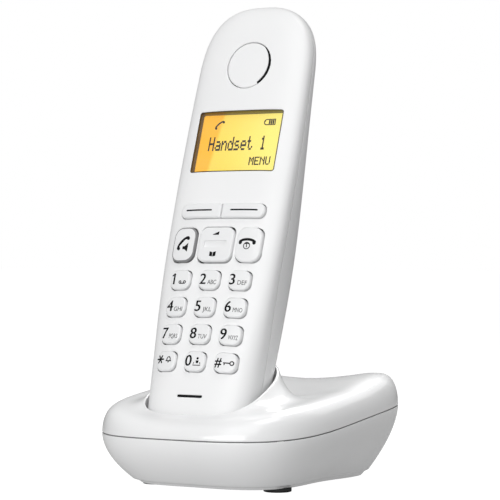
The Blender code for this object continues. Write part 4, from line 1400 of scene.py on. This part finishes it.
@dataclass
class HandsetCase(Assembly):
    """The handset's front shell, rear shell and battery cover."""

    finishes: Finishes
    form: HandsetForm
    repeated: Repeated
    wall: float = 1.5
    seam: float = 0.3
    rim: float = 0.16
    cover_low: float = 38.5
    cover_high: float = 87.5
    cover_half: float = 14.5
    cover_corner: float = 5.0
    cover_gap: float = 0.22
    pad: tuple[float, float] = (8.0, 16.0)
    screw_at: tuple[float, float] = (12.0, 27.0)

    def build(self, openings: Sequence[Opening]) -> None:
        """Make the shells, with the given holes in the front one."""
        matrix = self.form.matrix
        front = carved("front", self.form.half(True), self.wall, self.rim,
                       gathered(opening.cutter() for opening in openings))
        self.piece("front_shell", front, self.finishes.shell, "handset", matrix,
                   ("handset_front_shell",), "shell_white", weighted=True)
        rear = carved("rear", self.form.half(False, shift=self.seam), self.wall, self.rim,
                      self.rear_cutters())
        self.piece("rear_shell", rear, self.finishes.shell, "handset", matrix,
                   ("handset_rear_shell",), "shell_white", weighted=True)
        cover = carved("cover", self.form.half(False, shift=self.seam), self.wall, 0.0,
                       self.grip_cutter(), self.cover_prism(0.0))
        self.piece("cover_plate", cover, self.finishes.shell, "battery_cover", matrix,
                   ("battery_cover",), "shell_white", weighted=True)
        ribs = self.repeated.spread(self.rib_points(), box((9.0, 0.5, 0.55), edge=0.2),
                                    self.finishes.shell)
        self.piece("cover_grip_ribs", ribs, self.finishes.shell, "battery_cover", matrix)
        self.build_grille(matrix)
        self.build_screws(matrix)
        self.dress(self.finishes.gold, "handset_charge_pad_left", "handset_charge_pad_right")

    def cover_prism(self, margin: float) -> bmesh.types.BMesh:
        """Return the block whose outline is the battery cover's."""
        flat = subdivided(rounded_rectangle(2 * (self.cover_half + margin),
                                            self.cover_high - self.cover_low + 2 * margin,
                                            self.cover_corner + margin, 8), 3.0)
        middle = (self.cover_low + self.cover_high) / 2
        return skin([[Vector((x, depth, middle + z)) for x, z in flat] for depth in (12.5, 40.0)],
                    first_cap=True, last_cap=True)

    def rear_cutters(self) -> bmesh.types.BMesh:
        """Return the holes of the rear shell: cover, loudspeaker, charging pads and screws."""
        tools = [self.cover_prism(self.cover_gap)]
        for row in range(-2, 3):
            flat = rounded_rectangle(11 - abs(row) * 2, 0.9, 0.44, 4)
            tools.append(skin([[Vector((x, depth, 116 + row * 2.2 + z)) for x, z in flat]
                               for depth in (10.0, 30.0)], first_cap=True, last_cap=True))
        for side in (-1, 1):
            tools.append(box((4.6, 5.6, 5), (side * self.pad[0], self.pad[1], 2), 0.3))
            bore = turned(((0.0, 30.0), (2.4, 30.0), (2.4, 14.0), (0.0, 14.0)), 32)
            tools.append(moved(bore, Matrix.Translation((side * self.screw_at[0], 0, self.screw_at[1]))
                               @ Matrix.Rotation(math.radians(-90), 4, "X")))
        return gathered(tools)

    def grip_cutter(self) -> bmesh.types.BMesh:
        """Return the shallow scoop near the top of the battery cover."""
        scoop = bmesh.new()
        bmesh.ops.create_uvsphere(scoop, u_segments=48, v_segments=32, radius=1.0)
        bmesh.ops.scale(scoop, vec=(6.5, 2.0, 5.5), verts=scoop.verts)
        height = self.cover_high - 9.5
        bmesh.ops.translate(scoop, vec=(0, self.form.back(0, height) + self.seam + 1.3, height),
                            verts=scoop.verts)
        return scoop

    def rib_points(self) -> list[Vector]:
        """Return where the ribs of the finger grip lie."""
        return [Vector((0, self.form.back(0, h) + self.seam - 0.05, h))
                for h in spaced(self.cover_low + 5.0, self.cover_low + 11.0, 4)]

    def build_grille(self, matrix: Matrix) -> None:
        """Make the perforated sheet behind the loudspeaker's slots."""
        points = []
        for row in range(-7, 8):
            for column in range(-7, 8):
                x, z = column * 0.9 + (row % 2) * 0.45, 116 + row * 0.78
                if math.hypot(x, z - 116) < 5.9:
                    points.append((x, 0, z))
        stud = turned(((0.0, 0.2), (0.22, 0.16), (0.3, 0.0), (0.22, -0.16), (0.0, -0.2)), 8)
        mesh = self.repeated.spread(points, stud, self.finishes.black)
        for vert in mesh.verts:
            vert.co.y += self.form.back(vert.co.x, vert.co.z) - 1.9
        self.piece("speaker_mesh", mesh, self.finishes.black, "handset", matrix)

    def build_screws(self, matrix: Matrix) -> None:
        """Make the two case screws, sunk in their bores."""
        x, height = self.screw_at
        back = self.form.section(height, math.pi * 1.5).y - 3.4
        points = [(side * x, back, height) for side in (-1, 1)]
        screws = self.repeated.spread(points, cross_screw(2.0, 1.0, 7.5), self.finishes.steel,
                                      turn=(math.radians(-90), 0, 0))
        self.piece("case_screws", screws, self.finishes.steel, "handset", matrix,
                   ("handset_screw_left", "handset_screw_right"), "bright_steel")


def cross_screw(head: float, shank: float, length: float) -> bmesh.types.BMesh:
    """Return a screw along z with its domed head up and a cross recess in it.

    Args:
        head: radius of the head.
        shank: radius of the thread.
        length: from under the head to the point.

    Returns:
        The screw.
    """
    profile = [(0.0, 0.35 * head)]
    profile += [(head * math.sin(math.radians(a)), 0.35 * head * math.cos(math.radians(a)) ** 0.7)
                for a in (20, 40, 60, 75, 87)]
    profile += [(head, -0.25 * head), (shank, -0.35 * head)]
    turns = 7
    for i in range(turns * 2):
        z = -0.35 * head - (length - 1.0) * (i + 1) / (turns * 2)
        profile.append((shank * (1.0 if i % 2 else 0.78), z))
    profile += [(shank * 0.3, -0.35 * head - length), (0.0, -0.35 * head - length)]
    screw = turned(profile, 24)
    for wide, tall in ((1.15, 0.22), (0.22, 1.15)):
        slot = box((head * wide, head * tall, head * 0.8), (0, 0, 0.3 * head))
        screw = carved("screw", screw, cutters=slot)
    return screw


@dataclass
class HandsetInside(Assembly):
    """The cells, their tray and the electronics."""

    finishes: Finishes
    form: HandsetForm
    cell_radius: float = 5.2
    cell_depth: float = 14.3
    cell_x: float = 5.6

    def build(self) -> None:
        """Make the cells and finish the rest of the inside."""
        half, middle = self.form.cell_length / 2, self.form.cell_bottom + self.form.cell_length / 2
        radius = self.cell_radius
        sleeve = [(0.0, half - 1.0), (2.2, half - 1.0), (2.4, half - 0.8), (radius - 0.9, half - 0.8),
                  (radius - 0.45, half - 0.9), (radius - 0.08, half - 1.3), (radius, half - 1.8),
                  (radius, half - 8.9), (radius - 0.06, half - 9.0), (radius, half - 9.1),
                  (radius, 1.6 - half), (radius - 0.1, 0.6 - half), (radius - 0.7, 0.1 - half),
                  (radius - 1.2, 0.25 - half), (0.0, 0.25 - half)]
        nub = [(0.0, half), (1.5, half), (1.85, half - 0.2), (1.9, half - 1.0), (0.0, half - 1.0)]
        base = [(0.0, 0.24 - half), (3.6, 0.24 - half), (3.8, 0.12 - half), (3.6, 0.02 - half),
                (0.0, -half)]
        for side, name in ((-1, "battery_left"), (1, "battery_right")):
            flip = Matrix.Rotation(0 if side > 0 else math.pi, 4, "X")
            place = Matrix.Translation((side * self.cell_x, self.cell_depth, middle))
            matrix = self.form.matrix @ place @ flip
            self.piece(name + "_sleeve", turned(sleeve, 48), self.finishes.cell, "handset", matrix,
                       (name,), "cell_wrap")
            ends = gathered([turned(nub, 32), turned(base, 32)])
            self.piece(name + "_ends", ends, self.finishes.steel, "handset", matrix)
        self.dress(self.finishes.black, "battery_tray")
        self.dress(self.finishes.board, "handset_board")
        self.dress(self.finishes.steel, "radio_shield", "antenna_strip", "battery_contact_upper",
                   "battery_contact_lower")


# ------------------------------------------------------------------ the base's form
@dataclass(frozen=True)
class BaseForm:
    """The base's outer form: plan, seam, dished top, and the pocket that holds the handset."""

    form: HandsetForm
    half_width: float = 40.6
    half_depth: float = 47.5
    front_power: float = 3.25
    rear_power: float = 5.2
    seam_front: float = 17.8
    seam_rear: float = 25.8
    seam_bend: float = 1.15
    ridge: float = 10.7
    dish: float = 5.0
    dish_half: float = 41.0
    dish_power: float = 1.6
    rear_rise: float = 2.4
    shoulder_power: float = 15.0
    bottom: float = 1.3
    bottom_inset: float = 12.3
    wall: float = 1.8
    clearance: float = 0.9
    pocket_wall: float = 1.6
    pocket_floor: float = -0.8
    rim_low: tuple[float, float] = (-39.5, 24.9)
    rim_slope: float = 0.483
    lip: float = 0.9
    collar_reach: float = 14.0
    collar_power: float = 3.5
    centre: tuple[float, float] = (0.0, -22.0)

    def outline(self, count: int) -> list[Vector]:
        """Return points spaced evenly round the plan, from +X towards +Y."""
        fine = []
        for i in range(2881):
            angle = 2 * math.pi * i / 2880
            exponent = 2 / (self.front_power if math.sin(angle) < 0 else self.rear_power)
            fine.append(Vector((self.half_width * signed_power(math.cos(angle), exponent),
                                self.half_depth * signed_power(math.sin(angle), exponent))))
        walked = [0.0]
        for a, b in zip(fine, fine[1:]):
            walked.append(walked[-1] + (b - a).length)
        points, at = [], 0
        for i in range(count):
            target = walked[-1] * i / count
            while walked[at + 1] < target:
                at += 1
            share = (target - walked[at]) / (walked[at + 1] - walked[at])
            points.append(fine[at].lerp(fine[at + 1], share))
        return points

    def seam(self, y: float) -> float:
        """Height of the seam between the shells."""
        along = (y + self.half_depth) / self.half_depth / 2
        level = (0.6 * soft(along) + 0.4 * along) ** self.seam_bend
        return self.seam_front + (self.seam_rear - self.seam_front) * level

    def top(self, x: float, y: float) -> float:
        """Height of the dished top, without the pocket's collar."""
        power = self.front_power if y < 0 else self.rear_power
        radius = (abs(x / self.half_width) ** power + abs(y / self.half_depth) ** power) ** (1 / power)
        shoulder = math.sqrt(max(1 - radius ** self.shoulder_power, 0.0))
        dish = self.dish * (1 - min(abs(x) / self.dish_half, 1.0) ** 2) ** self.dish_power
        return self.seam(y) + (self.ridge + self.rear_rise * soft((y - 5) / 35) - dish) * shoulder

    def pocket(self, height: float, angle: float, grow: float = 0.0) -> Vector:
        """Return a point on the pocket's wall."""
        local = self.form.section(height, angle, self.clearance + grow, closed=False)
        return Matrix.Rotation(-self.form.lean, 3, "X") @ local + Vector(self.form.foot_of_face)

    def rim_station(self, angle: float) -> float:
        """Return how far up the pocket's wall its rim is."""
        low, high = 0.0, 60.0
        for _ in range(32):
            middle = (low + high) / 2
            point = self.pocket(middle, angle)
            if point.z < self.rim_low[1] + (point.y - self.rim_low[0]) * self.rim_slope:
                low = middle
            else:
                high = middle
        return low

    def facing(self, points: Sequence[Vector]) -> list[float]:
        """Return the section angles whose rim points face the outline points."""
        centre = Vector(self.centre)
        table = []
        for i in range(1440):
            angle = 2 * math.pi * i / 1440
            rim = self.pocket(self.rim_station(angle), angle)
            table.append((math.atan2(rim.y - centre.y, rim.x - centre.x), angle))
        table.sort()
        table = [(table[-1][0] - 2 * math.pi, table[-1][1] - 2 * math.pi)] + table
        table.append((table[1][0] + 2 * math.pi, table[1][1] + 2 * math.pi))
        found = []
        for point in points:
            wanted = math.atan2(point.y - centre.y, point.x - centre.x)
            for (a, first), (b, second) in zip(table, table[1:]):
                if a <= wanted <= b:
                    share = (wanted - a) / (b - a) if b > a else 0.0
                    turn = math.remainder(second - first, 2 * math.pi)
                    found.append((first + turn * share) % (2 * math.pi))
                    break
        return found

    def collar(self, spot: Vector, rim: Vector, lip_end: Vector) -> float:
        """Height of the top with the pocket's collar blended in."""
        plain = self.top(spot.x, spot.y)
        away = (spot - lip_end).length / self.collar_reach
        return plain + (rim.z - plain) * max(1 - away, 0.0) ** self.collar_power

    def lower(self, edge: Vector, share: float, gap: float) -> Vector:
        """Return a point of the lower shell, share of the way from the seam to the bottom."""
        seam = self.seam(edge.y) - gap
        bend = 1.9 - 0.25 * soft((edge.y + 20) / 60)
        spot = edge * (1 - self.bottom_inset * share ** bend / edge.length)
        return Vector((spot.x, spot.y, seam + (self.bottom - seam) * share))


@dataclass
class BaseCase(Assembly):
    """The base's upper shell with its collar and pocket, and its lower shell."""

    finishes: Finishes
    shape: BaseForm
    columns: int = 220
    seam_gap: float = 0.32
    socket_x: float = 15.0
    socket_z: float = 9.5
    socket_y: float = 35.5
    screws: tuple[tuple[float, float], ...] = ((-24.3, 5.0), (24.3, 5.0), (0.0, 26.3))
    pad: tuple[float, float] = (8.0, 16.0)
    paging_at: tuple[float, float, float] = (0.0, 43.2, 16.0)
    paging_tilt: float = math.radians(28)

    @property
    def paging_frame(self) -> Matrix:
        """The paging key's own frame."""
        return Matrix.Translation(self.paging_at) @ Matrix.Rotation(-self.paging_tilt, 4, "X")

    def column(self, edge: Vector, angle: float) -> tuple[list[Vector], list[Vector]]:
        """Return one radial strip of the upper shell: its outer and its inner points."""
        base = self.shape
        rim_at = base.rim_station(angle)
        rim = base.pocket(rim_at, angle)
        ray = (edge - rim.xy).normalized()
        lip_end = rim.xy + ray * base.lip

        def surface(spot: Vector) -> Vector:
            """Return the point of the top over a spot."""
            return Vector((spot.x, spot.y, base.collar(spot, rim, lip_end)))

        seam = base.seam(edge.y)
        outer = [Vector((*(edge - ray * inset), seam + rise))
                 for inset, rise in ((0.28, 0.0), (0.12, 0.03), (0.04, 0.12), (0.0, 0.28))]
        insets = [5.6 * (k / 13) ** 2.1 for k in range(1, 14)]
        spots = [edge - ray * inset for inset in insets]
        far = spots[-1]
        spots += [far.lerp(lip_end, f) for f in
                  (0.08, 0.16, 0.24, 0.32, 0.4, 0.48, 0.55, 0.62, 0.68, 0.74, 0.8, 0.85, 0.9, 0.94,
                   0.97, 1.0)]
        outer += [surface(spot) for spot in spots]
        crest = rim.lerp(base.pocket(rim_at, angle, base.lip / 2), 0.5)
        outer.append(Vector((*outer[-1].xy.lerp(crest.xy, 0.45), rim.z + 0.2)))
        outer.append(Vector((*crest.xy, rim.z + 0.27)))
        outer.append(Vector((*crest.xy.lerp(rim.xy, 0.7), rim.z + 0.16)))
        outer.append(rim.lerp(base.pocket(rim_at - 1, angle), 0.25))
        outer += [base.pocket(rim_at + (base.pocket_floor - rim_at) * f, angle)
                  for f in (0.1, 0.22, 0.35, 0.5, 0.7, 0.9, 0.97, 1.0)]
        turn = Matrix.Rotation(-base.form.lean, 3, "X")
        middle = turn @ Vector((0, 12.0, base.pocket_floor)) + Vector(base.form.foot_of_face)
        outer += [outer[-1].lerp(middle, 0.15), outer[-1].lerp(middle, 0.55), middle]

        inner = []
        for inset in (0.0, 0.5, 1.2, 2.3, 3.8):
            spot = edge - ray * inset
            here = surface(spot)
            slope = Vector((-ray.x, -ray.y, 0.0))
            if inset:
                step = surface(spot - ray * 0.05) - here
                slope = Vector((-ray.x * abs(step.z), -ray.y * abs(step.z), -step.xy.length)).normalized()
            inner.append(here + slope * base.wall)
        inner[0].z = seam
        wall_top, start = rim.xy + ray * base.pocket_wall, inner[-1].xy
        for f in (0.3, 0.6, 0.85, 1.0):
            spot = start.lerp(wall_top, f)
            step_down = 0.8 if f == 1 else 0
            inner.append(Vector((*spot, base.collar(spot, rim, lip_end) - base.wall - step_down)))
        under = base.pocket_floor - base.wall
        inner += [base.pocket(rim_at - 6.0 + (under - rim_at + 6.0) * f, angle, base.pocket_wall)
                  for f in (0.1, 0.55, 1.0)]
        below = turn @ Vector((0, 12.0, under)) + Vector(base.form.foot_of_face)
        inner += [inner[-1].lerp(below, 0.5), below]
        return outer, inner

    def build(self) -> None:
        """Make both shells, and a dark grey strip of painted shade in the seam between them."""
        base = self.shape
        world = Matrix.Scale(MM, 4)
        points = base.outline(self.columns)
        columns = [self.column(edge, angle) for edge, angle in zip(points, base.facing(points))]
        outer = [[c[0][i] for c in columns] for i in range(len(columns[0][0]))]
        inner = [[c[1][i] for c in columns] for i in range(len(columns[0][1]))]
        slots = [moved(box((3.4, 6.4, 6), (side * self.pad[0], self.pad[1], base.pocket_floor - 1), 0.25),
                       base.form.leaning) for side in (-1, 1)]
        upper = carved("upper", skin(outer[::-1] + inner), cutters=gathered(slots))
        self.piece("upper_shell", upper, self.finishes.base_shell, "base", world,
                   ("base_upper_shell",), "shell_white", crease=40, weighted=True)
        lower = carved("lower", self.lower_skin(points), base.wall, 0.0, self.lower_cutters())
        self.piece("lower_shell", lower, self.finishes.base_shell, "base", world,
                   ("base_lower_shell",), "shell_white", crease=40, weighted=True)
        # A dark grey strip just inside the seam: painted shade in the gap between the shells.
        rows = [[Vector((*(edge * (1 - inset / edge.length)), base.seam(edge.y) - drop)) for edge in points]
                for inset, drop in ((0.3, 0.05), (0.3, 0.27), (1.6, 0.27), (1.6, 0.05))]
        self.piece("seam_gasket", skin(rows + rows[:1]), self.finishes.seam_shade, "base", world)

    def lower_skin(self, points: Sequence[Vector]) -> bmesh.types.BMesh:
        """Return the outer surface of the lower shell, open at the seam."""
        base = self.shape
        rows = []
        for inset, drop in ((0.22, 0.0), (0.07, 0.04), (0.0, 0.16)):
            rows.append([Vector((*(edge * (1 - inset / edge.length)),
                                 base.seam(edge.y) - self.seam_gap - drop)) for edge in points])
        rows += [[base.lower(edge, share, self.seam_gap) for edge in points]
                 for share in spaced(0.03, 0.92, 22)]
        tuck = [base.lower(edge, 0.92, self.seam_gap) for edge in points]
        for share, lift in ((0.3, 0.82), (0.55, 0.64), (0.78, 0.32), (0.93, 0.1), (1.0, 0.0)):
            rows.append([Vector((*t.xy.lerp(edge * (1 - 13.4 / edge.length), share),
                                 base.bottom + (t.z - base.bottom) * lift))
                         for t, edge in zip(tuck, points)])
        for share in (0.7, 0.4, 0.15, 0.0):
            rows.append([Vector((edge.x * share * 0.7, edge.y * share * 0.7, base.bottom))
                         for edge in points])
        return faced(skin(rows), Vector((0, 0, -FAR)))

    def lower_cutters(self) -> bmesh.types.BMesh:
        """Return the holes of the lower shell: sockets, screws and paging key."""
        tools = [box((12.6, 30, 10.6), (-self.socket_x, self.socket_y + 8, self.socket_z), 0.6),
                 box((10.6, 30, 10.6), (self.socket_x, self.socket_y + 8, self.socket_z), 0.6)]
        for x, y in self.screws:
            bore = turned(((0.0, 4.0), (1.5, 4.0), (1.5, -4.0), (0.0, -4.0)), 24)
            tools.append(moved(bore, Matrix.Translation((x, y, self.shape.bottom))))
        hole = turned(((0.0, 8.0), (4.25, 8.0), (4.25, -8.0), (0.0, -8.0)), 40)
        tools.append(moved(hole, self.paging_frame @ Matrix.Rotation(math.radians(90), 4, "X")))
        return gathered(tools)


@dataclass
class BaseFittings(Assembly):
    """Feet, screws, sockets, charging contacts and the paging key."""

    finishes: Finishes
    case: BaseCase
    repeated: Repeated
    foot_radius: float = 4.6
    feet: tuple[tuple[float, float, str], ...] = (
        (-23.5, -20.0, "front_left"), (23.5, -20.0, "front_right"),
        (-18.5, 27.0, "rear_left"), (18.5, 27.0, "rear_right"))

    def build(self) -> None:
        """Make every fitting."""
        world = Matrix.Scale(MM, 4)
        tall, radius = self.case.shape.bottom - 0.02, self.foot_radius
        for x, y, word in self.feet:
            profile = ((0.0, tall), (radius, tall), (radius, 0.3), (radius - 0.1, 0.1),
                       (radius - 0.35, 0.0), (radius - 0.9, 0.0), (radius - 1.0, 0.12), (0.0, 0.12))
            self.piece("foot_pad_" + word, moved(turned(profile), Matrix.Translation((x, y, 0))),
                       self.finishes.rubber, "base", world, ("foot_" + word,), "black_rubber")
        points = [(x, y, self.case.shape.bottom + 0.9) for x, y in self.case.screws]
        screws = self.repeated.spread(points, cross_screw(1.35, 0.8, 5.6), self.finishes.steel,
                                      turn=(math.pi, 0, 0))
        self.piece("base_screws", screws, self.finishes.steel, "base", world,
                   ("base_screw_left", "base_screw_right", "base_screw_rear"), "bright_steel")
        self.build_line_contacts(world)
        self.build_springs()
        self.build_paging_key()
        self.dress(self.finishes.black, "line_socket", "power_socket")
        self.dress(self.finishes.steel, "power_socket_pin")
        self.dress(self.finishes.board, "base_board")

    def build_line_contacts(self, world: Matrix) -> None:
        """Make the row of sprung wires in the line socket."""
        case = self.case
        wire = box((0.45, 8.0, 0.3), edge=0.1, steps=1)
        points = [(-case.socket_x + (i - 1.5) * 1.25, case.socket_y - 5.0, case.socket_z + 2.4)
                  for i in range(4)]
        wires = self.repeated.spread(points, wire, self.finishes.gold, turn=(math.radians(-14), 0, 0))
        self.piece("line_contacts", wires, self.finishes.gold, "base", world)

    def build_springs(self) -> None:
        """Make the two bent springs at the bottom of the pocket."""
        form = self.case.shape.form
        for side, word in ((-1, "left"), (1, "right")):
            x, depth = side * self.case.pad[0], self.case.pad[1]
            rows = []
            for along, rise in ((-2.5, -2.1), (-2.45, -0.3), (-2.1, 0.6), (-1.2, 1.2), (0.0, 1.45),
                                (1.2, 1.2), (2.1, 0.6), (2.45, -0.3), (2.5, -2.1)):
                level = self.case.shape.pocket_floor + rise
                inner = 0.8 if abs(along) > 2 else 1.0
                low = level - 0.5 if abs(along) < 2.3 else level
                rows.append([(x - 1.15, depth + along, level), (x + 1.15, depth + along, level),
                             (x + 1.15, depth + along * inner, low - 0.01),
                             (x - 1.15, depth + along * inner, low - 0.01)])
            spring = skin(rows, first_cap=True, last_cap=True)
            self.piece("contact_spring_" + word, spring, self.finishes.gold, "cradle_contact_" + word,
                       form.matrix, ("cradle_contact_" + word,), "contact_gold")

    def build_paging_key(self) -> None:
        """Make the round paging key, slightly dished, with its rolled edge."""
        radius = 4.0
        profile = [(0.0, 2.95), (1.5, 3.0), (2.8, 3.15), (3.3, 3.28)]
        profile += [(3.4 + 0.6 * math.sin(math.radians(a)), 2.7 + 0.6 * math.cos(math.radians(a)))
                    for a in (10, 30, 50, 70, 90)]
        profile += [(radius, -0.9), (0.0, -0.9)]
        key = moved(turned(profile, 48), self.case.paging_frame @ Matrix.Translation((0, -1.2, 0))
                    @ Matrix.Rotation(math.radians(-90), 4, "X") @ Matrix.Translation((0, 0, -1.2)))
        self.piece("paging_button", key, self.finishes.key, "paging_key", Matrix.Scale(MM, 4),
                   ("paging_key",), "key_white")


# ------------------------------------------------------------------ the studio
@dataclass
class Studio:
    """A pale floor, soft lights and the camera."""

    camera_at: Vector = field(default_factory=lambda: Vector((0.3656162, -0.6068298, 0.0769541)))
    aim: Vector = field(default_factory=lambda: Vector((0.00069243, 0.0005, 0.07837717)))
    roll: float = math.radians(0.0457)
    lens: float = 150.69
    surround: float = 0.2

    def build(self) -> None:
        """Set up the whole studio."""
        self.build_camera()
        self.build_world()
        self.build_floor()
        self.lamp("key_panel", (0.2, -0.8, 0.7), (0, 0, 0.08), (0.9, 0.9), 4.3)
        self.lamp("front_panel", (0.0, -0.9, 0.16), (0, 0, 0.03), (0.7, 0.25), 3.0)
        self.lamp("top_panel", (0.25, -0.1, 0.9), (0, 0, 0.03), (0.4, 0.4), 2.0)
        self.lamp("rear_panel", (0.35, 0.75, 0.6), (0, 0, 0.05), (0.6, 0.5), 0.95)
        glow = self.lamp("table_glow", (0, 0, 0.0004), (0, 0, 1), (1.2, 1.2), 1.26)
        glow.visible_camera = False
        view = bpy.context.scene.view_settings
        view.view_transform = "Standard"

    def light_base(self) -> None:
        """Add the panel that lifts the base's dished top alone."""
        panel = self.lamp("rear_top_panel", (-0.1, 0.55, 0.85), (0, 0, 0.03), (0.6, 0.6), 7.5)
        lit = bpy.data.collections.new("lit_by_rear_top_panel")
        for name in ("upper_shell", "lower_shell"):
            lit.objects.link(bpy.data.objects[name])
        panel.light_linking.receiver_collection = lit

    def build_camera(self) -> None:
        """Place the camera."""
        data = bpy.data.cameras.new("camera")
        data.sensor_width, data.lens = 36.0, self.lens
        camera = bpy.data.objects.new("camera", data)
        camera.location = self.camera_at
        turn = (self.aim - self.camera_at).to_track_quat("-Z", "Y").to_matrix().to_4x4()
        camera.rotation_euler = (turn @ Matrix.Rotation(self.roll, 4, "Z")).to_euler()
        bpy.context.scene.collection.objects.link(camera)
        bpy.context.scene.camera = camera

    def build_world(self) -> None:
        """Surround the scene with soft grey light, seen as white."""
        world = bpy.data.worlds.new("studio")
        world.use_nodes = True
        bpy.context.scene.world = world
        tree = world.node_tree
        tree.nodes.clear()
        glow, seen = (tree.nodes.new("ShaderNodeBackground") for _ in range(2))
        glow.inputs["Color"].default_value = (1, 1, 1, 1)
        glow.inputs["Strength"].default_value = self.surround
        seen.inputs["Color"].default_value = (1, 1, 1, 1)
        path = tree.nodes.new("ShaderNodeLightPath")
        mix = tree.nodes.new("ShaderNodeMixShader")
        end = tree.nodes.new("ShaderNodeOutputWorld")
        tree.links.new(path.outputs["Is Camera Ray"], mix.inputs[0])
        tree.links.new(glow.outputs[0], mix.inputs[1])
        tree.links.new(seen.outputs[0], mix.inputs[2])
        tree.links.new(mix.outputs[0], end.inputs["Surface"])

    def build_floor(self) -> None:
        """Make the pale floor."""
        floor = bmesh.new()
        bmesh.ops.create_grid(floor, x_segments=1, y_segments=1, size=8.0)
        made = object_of("floor", floor)
        shader = Shader("pale_floor", Roughness=0.9, Emission_Strength=0.95,
                        Emission_Color=(1.0, 1.0, 1.0, 1.0), Specular_IOR_Level=0.0)
        tone = shader.noise(shader.place(), 0.4, 2.0)
        shader.vary(Base_Color=shader.blend(tone, (0.3, 0.3, 0.3), (0.28, 0.28, 0.28)))
        made.data.materials.append(shader.material)
        lit = bpy.data.collections.new("lit_by_floor")
        lit.objects.link(made)
        made.light_linking.receiver_collection = lit

    @staticmethod
    def lamp(name: str, place: Sequence[float], aim: Sequence[float], size: Sequence[float],
             power: float) -> bpy.types.Object:
        """Add a soft rectangular lamp.

        Args:
            name: its name.
            place: where it hangs.
            aim: what it points at.
            size: its width and height.
            power: watts.

        Returns:
            The lamp.
        """
        data = bpy.data.lights.new(name, "AREA")
        data.shape = "RECTANGLE"
        data.size, data.size_y = size
        data.energy = power
        lamp = bpy.data.objects.new(name, data)
        lamp.location = place
        lamp.rotation_euler = (Vector(aim) - Vector(place)).to_track_quat("-Z", "Y").to_euler()
        bpy.context.scene.collection.objects.link(lamp)
        return lamp


def main() -> None:
    """Build the whole telephone."""
    logging.basicConfig(level=logging.INFO, format="%(name)s: %(message)s")
    studio = Studio()
    studio.build()
    form = HandsetForm()
    finishes, repeated = Finishes(form), Repeated()
    keypad, display = Keypad(finishes, form), Display(finishes, form, repeated)
    head = Head(finishes, form)
    HandsetCase(finishes, form, repeated).build(keypad.openings() + head.openings() + [display.opening()])
    keypad.build()
    display.build()
    head.build()
    HandsetInside(finishes, form).build()
    case = BaseCase(finishes, BaseForm(form))
    case.build()
    studio.light_base()
    BaseFittings(finishes, case, repeated).build()


if __name__ == "__main__":
    main()
